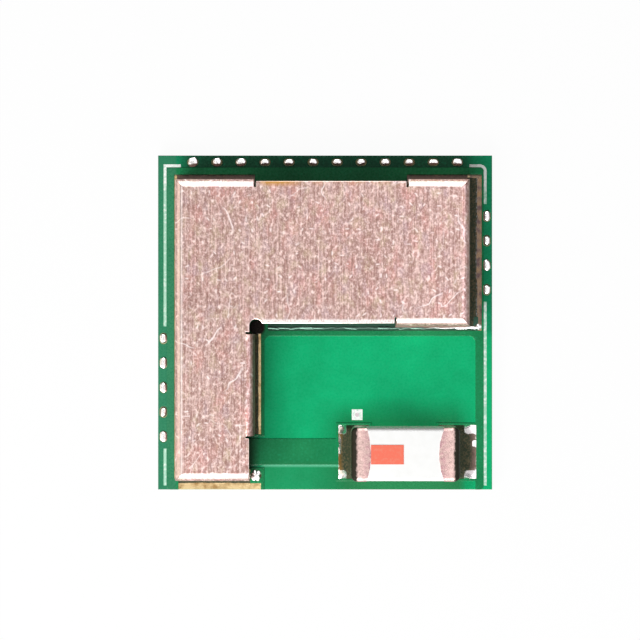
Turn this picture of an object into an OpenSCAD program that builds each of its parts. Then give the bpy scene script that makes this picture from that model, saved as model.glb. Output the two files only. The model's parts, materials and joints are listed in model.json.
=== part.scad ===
// Short-range radio module for soldering to a host board. A square circuit board carries an L-shaped
// folded shield can and a chip antenna, and has rows of pads below three of its edges.
// Millimetres, +Z up. The origin is the middle of the board, on the plane of the pads' undersides.

/* [Board] */
// Width of the board, along X
board_w = 10; // [9.5:0.1:14]
// Length of the board, along Y
board_l = 10; // [9.5:0.1:14]
// Thickness of the glass-fibre laminate
laminate_t = 0.41; // [0.3:0.01:1.2]
// Thickness of each copper layer
copper_t = 0.035; // [0.025:0.005:0.07]
// Thickness of the solder mask
mask_t = 0.02; // [0.01:0.005:0.02]
// Gap between a land and the edge of its mask opening
mask_gap = 0.02; // [0.01:0.005:0.03]
// Least gap between separate pieces of copper
copper_gap = 0.12; // [0.08:0.01:0.14]

/* [Ground pour] */
// Board edge to the pour on the left and the right
pour_margin_side = 0.28; // [0.26:0.01:0.32]
// Board edge to the pour at the back
pour_margin_back = 0.38; // [0.36:0.01:0.5]
// Board edge to the pour at the front
pour_margin_front = 0.02; // [0.01:0.01:0.1]
// Corner radius of the pour
pour_r = 0.09; // [0.05:0.01:0.2]
// Reach of the pour past the can's arm, towards the antenna
pour_reach_arm = 0.28; // [0.2:0.01:0.5]
// Reach of the pour past the can's leg, towards the antenna
pour_reach_leg = 0.25; // [0.25:0.01:0.6]
// Width of the ground strip beside the antenna
strip_w = 0.2; // [0.15:0.01:0.3]
// Corner radius of the clear area round the antenna
clear_r = 0.22; // [0.1:0.01:0.5]
// Width of the mask left on the rim of the pour beside an open land
mask_rim = 0.03; // [0.03:0.01:0.08]

/* [Silkscreen] */
// Width of a printed line
silk_line = 0.085; // [0.06:0.005:0.1]
// Thickness of the ink
silk_t = 0.012; // [0.01:0.001:0.03]
// Gap between a line and the raised mask over the pour
silk_gap = 0.01; // [0.01:0.005:0.03]
// Middle of a row's last contact to the end of a line
silk_stop = 0.36; // [0.25:0.01:0.6]
// Board edge to the front end of a line
silk_end = 0.12; // [0.05:0.01:0.3]
// Side of the small square mark
silk_mark = 0.32; // [0.2:0.01:0.5]
// Diameter of the hole in the square mark
silk_mark_hole = 0.13; // [0.05:0.01:0.16]
// Antenna end to the middle of the square mark
silk_mark_in = 0.2; // [0:0.01:0.6]
// Antenna side to the square mark
silk_mark_off = 0.15; // [0.1:0.01:0.6]

/* [Edge contacts] */
// Contacts along the back edge
contacts_back = 12; // [4:1:12]
// Contacts along the left edge
contacts_left = 5; // [2:1:5]
// Contacts along the right edge
contacts_right = 4; // [2:1:4]
// Spacing of the back row
pitch_back = 0.72; // [0.6:0.01:0.76]
// Spacing of the side rows
pitch_side = 0.735; // [0.6:0.005:0.76]
// Front edge of the board to the middle of the left row
left_row_at = 3.055; // [2.8:0.005:4]
// Back edge of the board to the middle of the right row
right_row_at = 2.915; // [2.7:0.005:4]
// Width of a host pad, along the board edge
pad_w = 0.41; // [0.3:0.01:0.45]
// Length of a host pad, inward from the board edge
pad_l = 0.71; // [0.4:0.01:0.9]
// Board edge to a host pad
pad_margin = 0.06; // [0.05:0.01:0.09]
// Board edge to the middle of the back row's vias
via_margin_back = 0.2; // [0.18:0.01:0.24]
// Board edge to the middle of the side rows' vias
via_margin_side = 0.16; // [0.16:0.01:0.2]
// Drilled diameter of a via
via_d = 0.12; // [0.1:0.01:0.15]
// Thickness of the plating in a via
plating_t = 0.02; // [0.015:0.005:0.03]
// Length of a via's top land, along the board edge
via_land_l = 0.3; // [0.24:0.01:0.36]
// Width of a via's top land
via_land_w = 0.19; // [0.17:0.01:0.22]
// Height of the solder bump above its land
bump_h = 0.06; // [0.04:0.01:0.1]
// Height of the bump's rim above its land
bump_rim_h = 0.012; // [0.01:0.001:0.03]

/* [Shield can] */
// Thickness of the sheet
sheet_t = 0.15; // [0.1:0.01:0.2]
// Height of the can above the copper
can_h = 1.12; // [1:0.01:1.6]
// Inside radius of a bend
bend_r = 0.1; // [0.05:0.01:0.15]
// Board edge to the can on the left
can_margin_left = 0.57; // [0.5:0.01:0.7]
// Board edge to the can on the right
can_margin_right = 0.73; // [0.6:0.01:0.9]
// Board edge to the can at the back
can_margin_back = 0.77; // [0.6:0.01:0.9]
// Board edge to the can at the front
can_margin_front = 0.33; // [0.25:0.01:0.5]
// Width of the leg
leg_w = 2.34; // [2.1:0.01:2.8]
// Depth of the arm
arm_l = 4.33; // [4.2:0.01:4.6]
// Length of the back tab on the left
tab_back_left = 2.33; // [1:0.01:2.6]
// Length of the back tab on the right
tab_back_right = 1.82; // [1:0.01:2.6]
// Length of the tab along the arm's front
tab_arm = 2.17; // [1:0.01:3]
// Distance of an open edge behind the face of its neighbouring tabs
setback = 0.07; // [0.03:0.01:0.12]
// Distance of the edge over the feed trace behind the leg's tab
feed_setback = 0.15; // [0.05:0.01:0.2]
// Width of the relief slit at the end of a tab
slit = 0.06; // [0.04:0.01:0.1]
// Width of the seam where two walls meet
seam = 0.01; // [0.01:0.01:0.06]
// Width of the relief hole at the inner corner
relief_w = 0.38; // [0.3:0.01:0.5]
// Length of the relief hole at the inner corner
relief_l = 0.5; // [0.5:0.01:0.7]
// Offset of the relief hole from the inner corner
relief_shift = 0.05; // [0:0.01:0.1]

/* [Solder and lands] */
// Solder between a land and what stands on it
solder_film = 0.02; // [0.01:0.005:0.04]
// Width of the open land outside the left wall
apron_left = 0.08; // [0.07:0.01:0.15]
// Width of the open land outside the back tabs
apron_back = 0.2; // [0.18:0.01:0.22]
// Width of the open land outside the arm's front
apron_arm = 0.14; // [0.12:0.01:0.15]
// Width of the open land outside the leg's inner wall
apron_leg = 0.17; // [0.1:0.01:0.2]
// Width of the land inside the can's walls
land_in = 0.12; // [0.1:0.01:0.14]
// Solder fillet outside the left wall
fillet_left = 0.06; // [0.04:0.01:0.07]
// Solder fillet outside the leg's inner tab
fillet_inner = 0.1; // [0.04:0.01:0.1]
// Solder fillet outside the leg's front
fillet_front = 0.14; // [0.04:0.01:0.2]
// Solder fillet outside the back tabs
fillet_back = 0.17; // [0.05:0.01:0.18]
// Solder fillet outside the arm's front
fillet_arm = 0.11; // [0.05:0.01:0.12]
// Solder fillet outside the right wall
fillet_right = 0.27; // [0.1:0.01:0.38]
// Thickness of a fillet at its tip
fillet_tip = 0.015; // [0.01:0.001:0.02]
// Start of the front land inside the can's left face
front_land_in = 0.04; // [0.02:0.01:0.5]
// Width of the solder bead along the arm's open edge
bead_w = 0.09; // [0.05:0.005:0.1]
// Height of that bead
bead_h = 0.03; // [0.02:0.005:0.04]
// Diameter of the loose solder drop beside the leg
leg_drop_d = 0.3; // [0.2:0.01:0.32]
// Diameter of the loose solder drop beside the arm
arm_drop_d = 0.22; // [0.15:0.01:0.28]
// Height of those drops
drop_h = 0.1; // [0.05:0.01:0.12]
// Gap between the leg's front tab and the drop beside it
drop_gap = 0.02; // [0.01:0.01:0.05]
// Front of the can to the middle of that drop
drop_in = 0.09; // [0:0.01:0.1]

/* [Chip antenna] */
// Length of the antenna, along X
antenna_l = 3.2; // [2.4:0.1:3.4]
// Width of the antenna, along Y
antenna_w = 1.6; // [1.2:0.05:1.8]
// Height of the antenna
antenna_h = 1.3; // [0.8:0.05:1.6]
// Board edge to the antenna's end
antenna_margin_end = 1.04; // [0.95:0.01:1.3]
// Board edge to the antenna's side
antenna_margin_front = 0.33; // [0.25:0.01:0.6]
// Edge radius of the ceramic
ceramic_r = 0.1; // [0.05:0.01:0.2]
// Edge radius of the terminals
terminal_r = 0.18; // [0.06:0.01:0.2]
// Length of a terminal at the middle of its curved border
terminal_l = 0.56; // [0.4:0.01:0.8]
// Rise of the curved border from the sides to the middle
terminal_bulge = 0.13; // [0.05:0.01:0.2]
// Thickness of the terminal's metal
terminal_t = 0.02; // [0.01:0.005:0.04]
// Reach of the feed land past its terminal
feed_toe = 0.36; // [0.2:0.01:0.45]
// Reach of the end land past its terminal
end_toe = 0.56; // [0.2:0.01:0.6]
// Height of the antenna's solder fillets
antenna_fillet_h = 0.75; // [0.3:0.01:0.8]
// Corner radius of the antenna's solder fillets
antenna_fillet_r = 0.12; // [0.05:0.01:0.2]
// Copper left under the mask round an antenna land
antenna_land_rim = 0.05; // [0.03:0.01:0.08]
// Width of the feed trace
feed_w = 0.75; // [0.3:0.01:0.8]
// Gap between the terminal's border and the printed mark
mark_gap = 0.02; // [0.01:0.01:0.1]
// Length of the printed mark
mark_l = 0.96; // [0.4:0.01:1.2]
// Width of the printed mark
mark_w = 0.57; // [0.3:0.01:0.8]
// Thickness of the printed mark
mark_t = 0.01; // [0.01:0.001:0.02]

/* [Radio chip] */
// Side of the square chip
chip_side = 3.5; // [3:0.05:3.5]
// Thickness of the chip
chip_t = 0.4; // [0.3:0.01:0.6]
// Solder balls along each side
balls = 8; // [4:1:8]
// Spacing of the balls
ball_pitch = 0.4; // [0.35:0.01:0.4]
// Diameter of a ball at its middle
ball_d = 0.25; // [0.2:0.01:0.26]
// Standing height of a reflowed ball
ball_h = 0.17; // [0.15:0.01:0.19]

/* [Crystals] */
// Width of both crystals
crystal_w = 1.6; // [1.2:0.05:1.7]
// Length of the main crystal
main_crystal_l = 2; // [1.6:0.05:2.1]
// Length of the sleep crystal
sleep_crystal_l = 1; // [0.8:0.05:1.1]
// Thickness of a ceramic base
crystal_base_t = 0.35; // [0.2:0.01:0.5]
// Thickness of a metal lid
crystal_lid_t = 0.1; // [0.05:0.01:0.15]
// Rim of the base round its lid
crystal_rim = 0.12; // [0.08:0.01:0.2]
// Radius of the notches in the base's corners
crystal_notch = 0.12; // [0.05:0.01:0.15]
// Corner radius of a lid
lid_r = 0.15; // [0.05:0.01:0.2]
// Length of a crystal's lands, along Y
crystal_land_l = 0.36; // [0.25:0.01:0.4]
// Width of a crystal's lands
crystal_land_w = 0.5; // [0.3:0.01:0.6]

/* [Small components] */
// Columns of capacitors
capacitor_columns = 2; // [1:1:2]
// Capacitors in each column
capacitor_rows = 4; // [1:1:4]
// Length of a capacitor
capacitor_l = 0.6; // [0.4:0.01:0.64]
// Width and height of a capacitor
capacitor_w = 0.3; // [0.2:0.01:0.35]
// Spacing of the capacitor rows
capacitor_pitch = 0.9; // [0.7:0.01:0.95]
// Inductors in the leg
inductors = 3; // [1:1:3]
// Length of an inductor
inductor_l = 1; // [0.6:0.01:1.05]
// Width and height of an inductor
inductor_w = 0.5; // [0.3:0.01:0.6]
// Spacing of the inductors
inductor_pitch = 1.3; // [1.3:0.01:1.4]
// Length of the metal ends, as far as they wrap a component
end_l = 0.15; // [0.1:0.01:0.2]
// How far the metal ends stand proud of the body
end_proud = 0.01; // [0.005:0.005:0.02]
// Reach of a component's land past its end
toe = 0.1; // [0.05:0.01:0.12]
// Height of a component's solder fillet
toe_fillet_h = 0.16; // [0.1:0.01:0.18]
// Gap between a component's land and its neighbour's
part_gap = 0.2; // [0.14:0.01:0.25]

/* [Hidden] */
$fn = 48;

// Heights of the layers
laminate_z = copper_t;
laminate_top = laminate_z + laminate_t;
copper_top = laminate_top + copper_t;
mask_low = laminate_top + mask_t;
seat_z = copper_top + solder_film;
can_top = copper_top + can_h;

// Place of the antenna
antenna_x = board_w / 2 - antenna_margin_end - antenna_l / 2;
antenna_y = antenna_margin_front + antenna_w / 2 - board_l / 2;
function antenna_toe(end) = end > 0 ? end_toe : feed_toe;

// Faces of the can
can_left = can_margin_left - board_w / 2;
can_right = board_w / 2 - can_margin_right;
can_back = board_l / 2 - can_margin_back;
can_front = can_margin_front - board_l / 2;
leg_right = can_left + leg_w;
arm_front = can_back - arm_l;
bend_outer = bend_r + sheet_t;

// Relief hole at the inner corner, and the leg's tab between it and the feed trace
relief_x = leg_right + relief_shift;
relief_y = arm_front - relief_shift;
leg_tab_start = relief_y - relief_l / 2 + slit;
leg_tab_end = antenna_y + feed_w / 2 + copper_gap + mask_rim;
feed_edge = leg_right - feed_setback;

// Drop of solder beside the leg's front tab
leg_drop_x = feed_edge + drop_gap + leg_drop_d / 2;
leg_drop_y = can_front + drop_in;

// Edges of the pour, and of the clear area that it leaves round the antenna
pour_side = board_w / 2 - pour_margin_side;
pour_back = board_l / 2 - pour_margin_back;
pour_front = pour_margin_front - board_l / 2;
clear_left = leg_right + pour_reach_leg;
clear_right = pour_side - strip_w;
clear_back = arm_front - pour_reach_arm;

// Floor inside the can that the land leaves free
wall_in = sheet_t + land_in;
room_left = can_left + wall_in;
room_right = can_right - wall_in;
room_back = can_back - wall_in;
room_front = arm_front + wall_in;
leg_room_right = leg_right - wall_in;
leg_room_front = can_front + wall_in;
arm_mid = (room_back + room_front) / 2;

// Walls of the can: start x, start y, heading, length, mitre at the start, mitre at the end, solder fillet.
// Each runs along its own +X, with the outside of the can towards its own +Y.
LEFT = [can_left, can_front, 90, can_back - can_front, 1, 1, fillet_left];
BACK_LEFT = [can_left, can_back, 0, tab_back_left, 1, 0, fillet_back];
BACK_RIGHT = [can_right - tab_back_right, can_back, 0, tab_back_right, 0, 1, fillet_back];
RIGHT = [can_right, can_back, -90, arm_l, 1, 1, fillet_right];
ARM = [can_right, arm_front, 180, tab_arm, 1, 0, fillet_arm];
LEG = [leg_right, leg_tab_start, -90, leg_tab_start - leg_tab_end, 0, 0, fillet_inner];
FRONT = [feed_edge, can_front, 180, feed_edge - can_left, 0, 1, fillet_front];
WALLS = [LEFT, BACK_LEFT, BACK_RIGHT, RIGHT, ARM, LEG, FRONT];
CORNERS = [[LEFT, BACK_LEFT], [BACK_RIGHT, RIGHT], [RIGHT, ARM]];

// Contacts of one row as x, y on the board edge, heading with +Y outwards, and distance to the via
left_row_y = left_row_at - board_l / 2;
right_row_y = board_l / 2 - right_row_at;
function steps(count, pitch) = [for (i = [0 : count - 1]) (i - (count - 1) / 2) * pitch];
ROWS = ["back", "left", "right"];
function contacts(row) =
  row == "back" ? [for (s = steps(contacts_back, pitch_back)) [s, board_l / 2, 0, via_margin_back]] :
  row == "left" ? [for (s = steps(contacts_left, pitch_side))
                     [-board_w / 2, left_row_y - s, 90, via_margin_side]] :
                  [for (s = steps(contacts_right, pitch_side))
                     [board_w / 2, right_row_y - s, -90, via_margin_side]];

// Small components as x, y
capacitor_step = capacitor_l + 2 * toe + part_gap;
capacitor_x = room_left + copper_gap + toe + capacitor_l / 2;
CAPACITORS = [for (column = [0 : capacitor_columns - 1]) for (s = steps(capacitor_rows, capacitor_pitch))
                [capacitor_x + column * capacitor_step, arm_mid + s]];
inductor_x = (room_left + leg_room_right) / 2;
inductor_y = antenna_y + toe + inductor_l / 2;
INDUCTORS = [for (i = [0 : inductors - 1]) [inductor_x, inductor_y + i * inductor_pitch]];

// Place of the chip, beside the capacitors
capacitors_end = capacitor_x + (capacitor_columns - 1) * capacitor_step + capacitor_l / 2 + toe;
chip_x = capacitors_end + part_gap + chip_side / 2;
BALLS = [for (u = steps(balls, ball_pitch)) for (v = steps(balls, ball_pitch)) [chip_x + u, arm_mid + v]];
ball_land_d = ball_d - 2 * mask_gap;

// Places of the crystals, in the arm's right-hand corners
crystal_x = room_right - copper_gap - crystal_w / 2;
main_crystal_y = room_back - copper_gap - main_crystal_l / 2;
sleep_crystal_y = room_front + copper_gap + sleep_crystal_l / 2;

// Rectangle from corner to corner, grown by g on every side
module area(x0, y0, x1, y1, g = 0) {
  translate([x0 - g, y0 - g]) square([x1 - x0 + 2 * g, y1 - y0 + 2 * g]);
}

// Rectangle about the origin with rounded corners
module rounded_area(w, l, r) {
  square([w - 2 * r, l], center = true);
  square([w, l - 2 * r], center = true);
  for (x = [-1, 1], y = [-1, 1]) translate([x * (w / 2 - r), y * (l / 2 - r)]) circle(r);
}

// Outline with round ends, long along X
module oblong(l, w) {
  square([l - w, w], center = true);
  for (x = [-1, 1]) translate([x * (l - w) / 2, 0]) circle(d = w);
}

// Low round drop: a slice off the top of a ball
module drop(d, h) {
  ball_r = (d * d / 4 + h * h) / (2 * h);
  intersection() {
    translate([0, 0, h - ball_r]) sphere(ball_r);
    cylinder(d = 2 * d, h = h);
  }
}

// Concave fillet in the corner between a floor and a wall, seen along the wall
module fillet_profile(reach, height) {
  curve = max(reach, height);
  difference() {
    square([reach, height]);
    translate([fillet_tip + curve, fillet_tip + curve]) circle(curve);
  }
}

module at_wall(wall) {
  translate([wall[0], wall[1], 0]) rotate(wall[2]) children();
}

// Extrudes a section in the wall's own Y and Z along the wall
module along_wall(wall) {
  at_wall(wall) rotate([90, 0, 90]) linear_extrude(wall[3]) children();
}

module at_contacts(row) {
  for (c = contacts(row)) translate([c[0], c[1], 0]) rotate(c[2]) children();
}

module at_vias(row) {
  for (c = contacts(row)) translate([c[0], c[1], 0]) rotate(c[2]) translate([0, -c[3], 0]) children();
}

// Copper and lands
module pour_area(g) {
  clear_w = clear_right - clear_left;
  clear_l = clear_back + board_l / 2 + clear_r;
  pour_l = pour_back - pour_front;
  difference() {
    translate([0, pour_back - pour_l / 2])
      rounded_area(2 * (pour_side + g), pour_l + 2 * g, pour_r + g);
    translate([(clear_left + clear_right) / 2, clear_back - clear_l / 2])
      rounded_area(clear_w - 2 * g, clear_l - 2 * g, clear_r - g);
    area(room_left, room_front, room_right, room_back, -g);
    area(room_left, leg_room_front, leg_room_right, room_back, -g);
    feed_area(copper_gap - g);
  }
}

module feed_area(g) {
  half_l = antenna_l / 2;
  area(inductor_x - inductor_w / 2, antenna_y - feed_w / 2, antenna_x - half_l, antenna_y + feed_w / 2, g);
}

// One antenna land, at its left or right end
module antenna_land(end, g) {
  l = antenna_toe(end) + terminal_l;
  translate([antenna_x + end * (antenna_l / 2 + antenna_toe(end) - l / 2), antenna_y])
    square([l + 2 * g, antenna_w + 2 * g], center = true);
}

// Land pair of a component that lies along X
module end_lands(l, w, g) {
  land_l = toe + end_l;
  for (end = [-1, 1]) translate([end * (l / 2 + toe - land_l / 2), 0])
    square([land_l + 2 * g, w + 2 * g], center = true);
}

module crystal_lands(l, g) {
  for (x = [-1, 1], y = [-1, 1])
    translate([x * (crystal_w - crystal_land_w) / 2, y * (l - crystal_land_l) / 2])
      square([crystal_land_w + 2 * g, crystal_land_l + 2 * g], center = true);
}

module component_lands(g) {
  for (c = CAPACITORS) translate(c) end_lands(capacitor_l, capacitor_w, g);
  for (c = INDUCTORS) translate(c) rotate(90) end_lands(inductor_l, inductor_w, g);
  translate([crystal_x, main_crystal_y]) crystal_lands(main_crystal_l, g);
  translate([crystal_x, sleep_crystal_y]) crystal_lands(sleep_crystal_l, g);
  for (b = BALLS) translate(b) circle(d = ball_land_d + 2 * g);
}

module copper_area(g) {
  pour_area(g);
  feed_area(g);
  for (end = [-1, 1]) antenna_land(end, antenna_land_rim + g);
  component_lands(g);
}

// Mask openings over the lands that the can stands on
module shield_openings() {
  land_right = pour_side - mask_rim;
  land_left = can_left - apron_left;
  land_back = can_back + apron_back;
  land_arm = arm_front - apron_arm;
  back_left_end = can_left + tab_back_left;
  back_right_end = can_right - tab_back_right;
  area(land_left, can_front, room_left, land_back);
  area(land_left, room_back, back_left_end, land_back);
  area(back_right_end, room_back, land_right, land_back);
  area(room_right, land_arm, land_right, land_back);
  area(leg_right + relief_w, land_arm, land_right, room_front);
  area(leg_room_right, leg_tab_end, leg_right + apron_leg, leg_tab_start);
  area(can_left + front_land_in, -board_l, feed_edge, leg_room_front);
  area(feed_edge, -board_l, leg_drop_x + leg_drop_d / 2, can_front - fillet_front);
  translate([leg_drop_x, leg_drop_y]) circle(d = leg_drop_d + mask_rim);
}

module mask_openings() {
  shield_openings();
  for (end = [-1, 1]) antenna_land(end, 0);
  component_lands(mask_gap);
  for (row = ROWS) at_vias(row) oblong(via_land_l + 2 * mask_gap, via_land_w + 2 * mask_gap);
}

// Board
module laminate() {
  color("darkseagreen") difference() {
    translate([0, 0, laminate_z]) linear_extrude(laminate_t) square([board_w, board_l], center = true);
    for (row = ROWS) at_vias(row) cylinder(d = via_d, h = 3 * laminate_top, center = true);
  }
}

module top_copper() {
  color("goldenrod") translate([0, 0, laminate_top]) linear_extrude(copper_t) copper_area(0);
}

module top_solder_mask() {
  color("mediumseagreen") translate([0, 0, laminate_top]) difference() {
    union() {
      linear_extrude(mask_t) square([board_w, board_l], center = true);
      linear_extrude(copper_t + mask_t) intersection() {
        copper_area(mask_t);
        square([board_w, board_l], center = true);
      }
    }
    linear_extrude(copper_t) copper_area(0);
    translate([0, 0, -mask_t]) linear_extrude(copper_t + 3 * mask_t) mask_openings();
  }
}

module bottom_solder_mask() {
  color("seagreen") translate([0, 0, laminate_z - mask_t]) linear_extrude(mask_t) difference() {
    square([board_w, board_l], center = true);
    for (row = ROWS) at_contacts(row)
      area(-pad_w / 2, -pad_margin - pad_l, pad_w / 2, -pad_margin, mask_gap);
  }
}

module host_pads(row) {
  color("gold") at_contacts(row) linear_extrude(copper_t)
    area(-pad_w / 2, -pad_margin - pad_l, pad_w / 2, -pad_margin);
}

module plated_vias(row) {
  color("peru") at_vias(row) difference() {
    union() {
      translate([0, 0, laminate_z]) cylinder(d = via_d, h = laminate_t);
      translate([0, 0, laminate_top]) linear_extrude(copper_t) oblong(via_land_l, via_land_w);
    }
    translate([0, 0, laminate_z - copper_t]) cylinder(d = via_d - 2 * plating_t, h = 2 * copper_top);
  }
}

// Plug in the via, under an oblong bump with a domed top
module via_solder(row) {
  rise = bump_h - bump_rim_h;
  dome_r = (via_land_l * via_land_l / 4 + rise * rise) / (2 * rise);
  color("gainsboro") at_vias(row) {
    translate([0, 0, laminate_z]) cylinder(d = via_d - 2 * plating_t, h = laminate_t + copper_t);
    translate([0, 0, copper_top]) intersection() {
      linear_extrude(bump_h) oblong(via_land_l, via_land_w);
      translate([0, 0, bump_h - dome_r]) sphere(dome_r);
    }
  }
}

// Printed frame lines, broken at the contact rows
module silkscreen() {
  half = silk_line / 2;
  off = mask_t + silk_gap + half;
  x = pour_side + off;
  y = pour_back + off;
  r = pour_r + off;
  back_half = (contacts_back - 1) / 2 * pitch_back + silk_stop;
  left_half = (contacts_left - 1) / 2 * pitch_side + silk_stop;
  right_half = (contacts_right - 1) / 2 * pitch_side + silk_stop;
  front = silk_end - board_l / 2;
  mark_x = antenna_x - antenna_l / 2 + silk_mark_in;
  mark_y = antenna_y + antenna_w / 2 + silk_mark_off + silk_mark / 2;
  color("white") translate([0, 0, mask_low]) linear_extrude(silk_t) {
    area(-x - half, left_row_y + left_half, -x + half, y + half);
    area(-x - half, y - half, -back_half, y + half);
    area(-x - half, front, -x + half, left_row_y - left_half);
    area(back_half, y - half, x - r, y + half);
    translate([x - r, y - r]) intersection() {
      difference() {
        circle(r + half);
        circle(r - half);
      }
      square(2 * r);
    }
    area(x - half, right_row_y + right_half, x + half, y - r);
    area(x - half, front, x + half, right_row_y - right_half);
    translate([mark_x, mark_y]) difference() {
      square(silk_mark, center = true);
      circle(d = silk_mark_hole);
    }
  }
}

// Shield can
// Flat sheet at the top of a wall's section, reaching in from its bend line
module flat_section(reach) {
  translate([-bend_outer - reach, can_top - sheet_t]) square([reach, sheet_t]);
}

module wall_section() {
  flat_section(sheet_t);
  translate([-bend_outer, can_top - bend_outer]) intersection() {
    difference() {
      circle(bend_outer);
      circle(bend_r);
    }
    square(bend_outer);
  }
  translate([-sheet_t, seat_z]) square([sheet_t, can_top - bend_outer - seat_z]);
}

// One folded wall, cut to a mitre where it meets another
module shield_wall(wall) {
  depth = bend_outer + sheet_t;
  start_gap = wall[4] * seam / sqrt(2);
  end_gap = wall[5] * seam / sqrt(2);
  intersection() {
    along_wall(wall) wall_section();
    at_wall(wall) linear_extrude(can_top + sheet_t) polygon([
      [start_gap - wall[4] * sheet_t, sheet_t],
      [wall[3] - end_gap + wall[5] * sheet_t, sheet_t],
      [wall[3] - end_gap - wall[5] * depth, -depth],
      [start_gap + wall[4] * depth, -depth]
    ]);
  }
}

// Flat top of the can up to its bend lines, and past them along the open edges
module plate_area() {
  flat_left = can_left + bend_outer;
  flat_right = can_right - bend_outer;
  flat_back = can_back - bend_outer;
  flat_front = can_front + bend_outer;
  leg_flat = leg_right - bend_outer;
  arm_flat = arm_front + bend_outer;
  back_open_start = can_left + tab_back_left + slit;
  back_open_end = can_right - tab_back_right - slit;
  difference() {
    union() {
      area(flat_left, arm_flat, flat_right, flat_back);
      area(flat_left, flat_front, leg_flat, flat_back);
      area(back_open_start, arm_flat, back_open_end, can_back - setback);
      area(leg_flat, arm_front + setback, can_right - tab_arm - slit, arm_flat);
      area(leg_flat, leg_tab_start + slit, relief_x, arm_flat);
      area(leg_flat, flat_front, feed_edge, leg_tab_end - slit);
    }
    translate([relief_x, relief_y]) rotate(90) oblong(relief_l, relief_w);
    area(relief_x, relief_y - relief_l, leg_right + relief_l, arm_front + setback);
  }
}

module shield_can() {
  color("rosybrown") {
    intersection() {
      along_wall(LEFT) flat_section(can_right - can_left);
      linear_extrude(can_top + sheet_t) plate_area();
    }
    for (wall = WALLS) shield_wall(wall);
  }
}

// Solder fillet along a wall, carried past its start and its end by the lengths given
module wall_fillet(wall, start, end) {
  at_wall(wall) translate([-start, 0, 0]) rotate([90, 0, 90]) linear_extrude(wall[3] + start + end)
    fillet_profile(wall[6], wall[6]);
}

// Film under each wall, the fillets outside, the tinned land under the arm's open edge, the bead along the
// arm's front and two loose drops
module shield_solder() {
  arm_drop_x = pour_side - mask_rim - arm_drop_d / 2;
  bead_start = leg_right + relief_w;
  bead_y = arm_front - apron_arm + bead_w / 2;
  bead_r = (bead_w * bead_w / 4 + bead_h * bead_h) / (2 * bead_h);
  color("lightgray") translate([0, 0, copper_top]) {
    for (wall = WALLS) {
      along_wall(wall) translate([-sheet_t, 0]) square([sheet_t, solder_film]);
      wall_fillet(wall, 0, wall == FRONT ? -front_land_in : 0);
    }
    for (pair = CORNERS) intersection() {
      wall_fillet(pair[0], 0, pair[1][6]);
      wall_fillet(pair[1], pair[0][6], 0);
    }
    linear_extrude(solder_film) area(bead_start, bead_y, can_right - tab_arm, room_front);
    translate([bead_start, bead_y, 0])
      rotate([90, 0, 90]) linear_extrude(arm_drop_x - bead_start) intersection() {
        translate([0, bead_h - bead_r]) circle(bead_r);
        translate([-bead_w, 0]) square([2 * bead_w, bead_h]);
      }
    translate([leg_drop_x, leg_drop_y, 0]) drop(leg_drop_d, drop_h);
    translate([arm_drop_x, arm_front + arm_drop_d / 2 - apron_arm, 0]) drop(arm_drop_d, drop_h);
  }
}

// Antenna
module at_antenna() {
  translate([antenna_x, antenna_y, seat_z]) children();
}

// Block on the floor with rounded ends and rounded long edges
module rounded_block(l, w, h, end_r, edge_r) {
  intersection() {
    linear_extrude(h) rounded_area(l, w, end_r);
    translate([-l / 2, 0, h / 2]) rotate([90, 0, 90]) linear_extrude(l) rounded_area(w, h, edge_r);
    translate([0, w / 2, h / 2]) rotate([90, 0, 0]) linear_extrude(w) rounded_area(l, h, end_r);
  }
}

module antenna_ceramic() {
  skin = 2 * terminal_t;
  color("white") at_antenna() translate([0, 0, terminal_t])
    rounded_block(antenna_l - skin, antenna_w - skin, antenna_h - skin, terminal_r - terminal_t, ceramic_r);
}

// Metal end of the antenna: a thin cup with a curved border, fitted over the ceramic
module antenna_terminal(end) {
  border_r = (antenna_w * antenna_w / 4 + terminal_bulge * terminal_bulge) / (2 * terminal_bulge);
  color("tan") difference() {
    at_antenna() rotate(end > 0 ? 180 : 0) intersection() {
      rounded_block(antenna_l, antenna_w, antenna_h, terminal_r, ceramic_r + terminal_t);
      translate([terminal_l - antenna_l / 2 - border_r, 0, 0]) cylinder(r = border_r, h = antenna_h);
    }
    antenna_ceramic();
  }
}

module antenna_mark() {
  x = terminal_l + mark_gap - antenna_l / 2;
  color("tomato") at_antenna() translate([x, -mark_w / 2, antenna_h - terminal_t])
    cube([mark_l, mark_w, mark_t]);
}

// Film under a terminal, and a hollow fillet up its end face
module antenna_solder(end) {
  reach = antenna_toe(end);
  foot_l = reach + terminal_l;
  wrap = terminal_r + fillet_tip;
  color("silver") difference() {
    translate([antenna_x + end * antenna_l / 2, antenna_y, copper_top]) rotate(end > 0 ? 0 : 180)
      intersection() {
        translate([-terminal_l, antenna_w / 2, 0]) rotate([90, 0, 0]) linear_extrude(antenna_w) union() {
          square([terminal_l - wrap, solder_film]);
          translate([terminal_l - wrap, 0]) square([wrap, antenna_fillet_h]);
          translate([terminal_l, 0]) antenna_fillet_section(reach);
        }
        translate([reach - foot_l / 2, 0, 0]) linear_extrude(antenna_h)
          rounded_area(foot_l, antenna_w, antenna_fillet_r);
      }
    at_antenna() linear_extrude(antenna_h) rounded_area(antenna_l, antenna_w, terminal_r);
  }
}

module antenna_fillet_section(reach) {
  curve = (reach * reach + antenna_fillet_h * antenna_fillet_h) / (2 * reach);
  difference() {
    square([reach, antenna_fillet_h]);
    translate([curve + fillet_tip, antenna_fillet_h + fillet_tip]) circle(curve);
  }
}

// Radio chip
module radio_chip() {
  color("dimgray") translate([chip_x, arm_mid, copper_top + ball_h]) linear_extrude(chip_t)
    square(chip_side, center = true);
}

module radio_chip_balls() {
  color("lightgray") for (b = BALLS) translate([b[0], b[1], copper_top]) intersection() {
    translate([0, 0, ball_h / 2]) sphere(d = ball_d);
    linear_extrude(ball_h) square(ball_d, center = true);
  }
}

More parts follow.
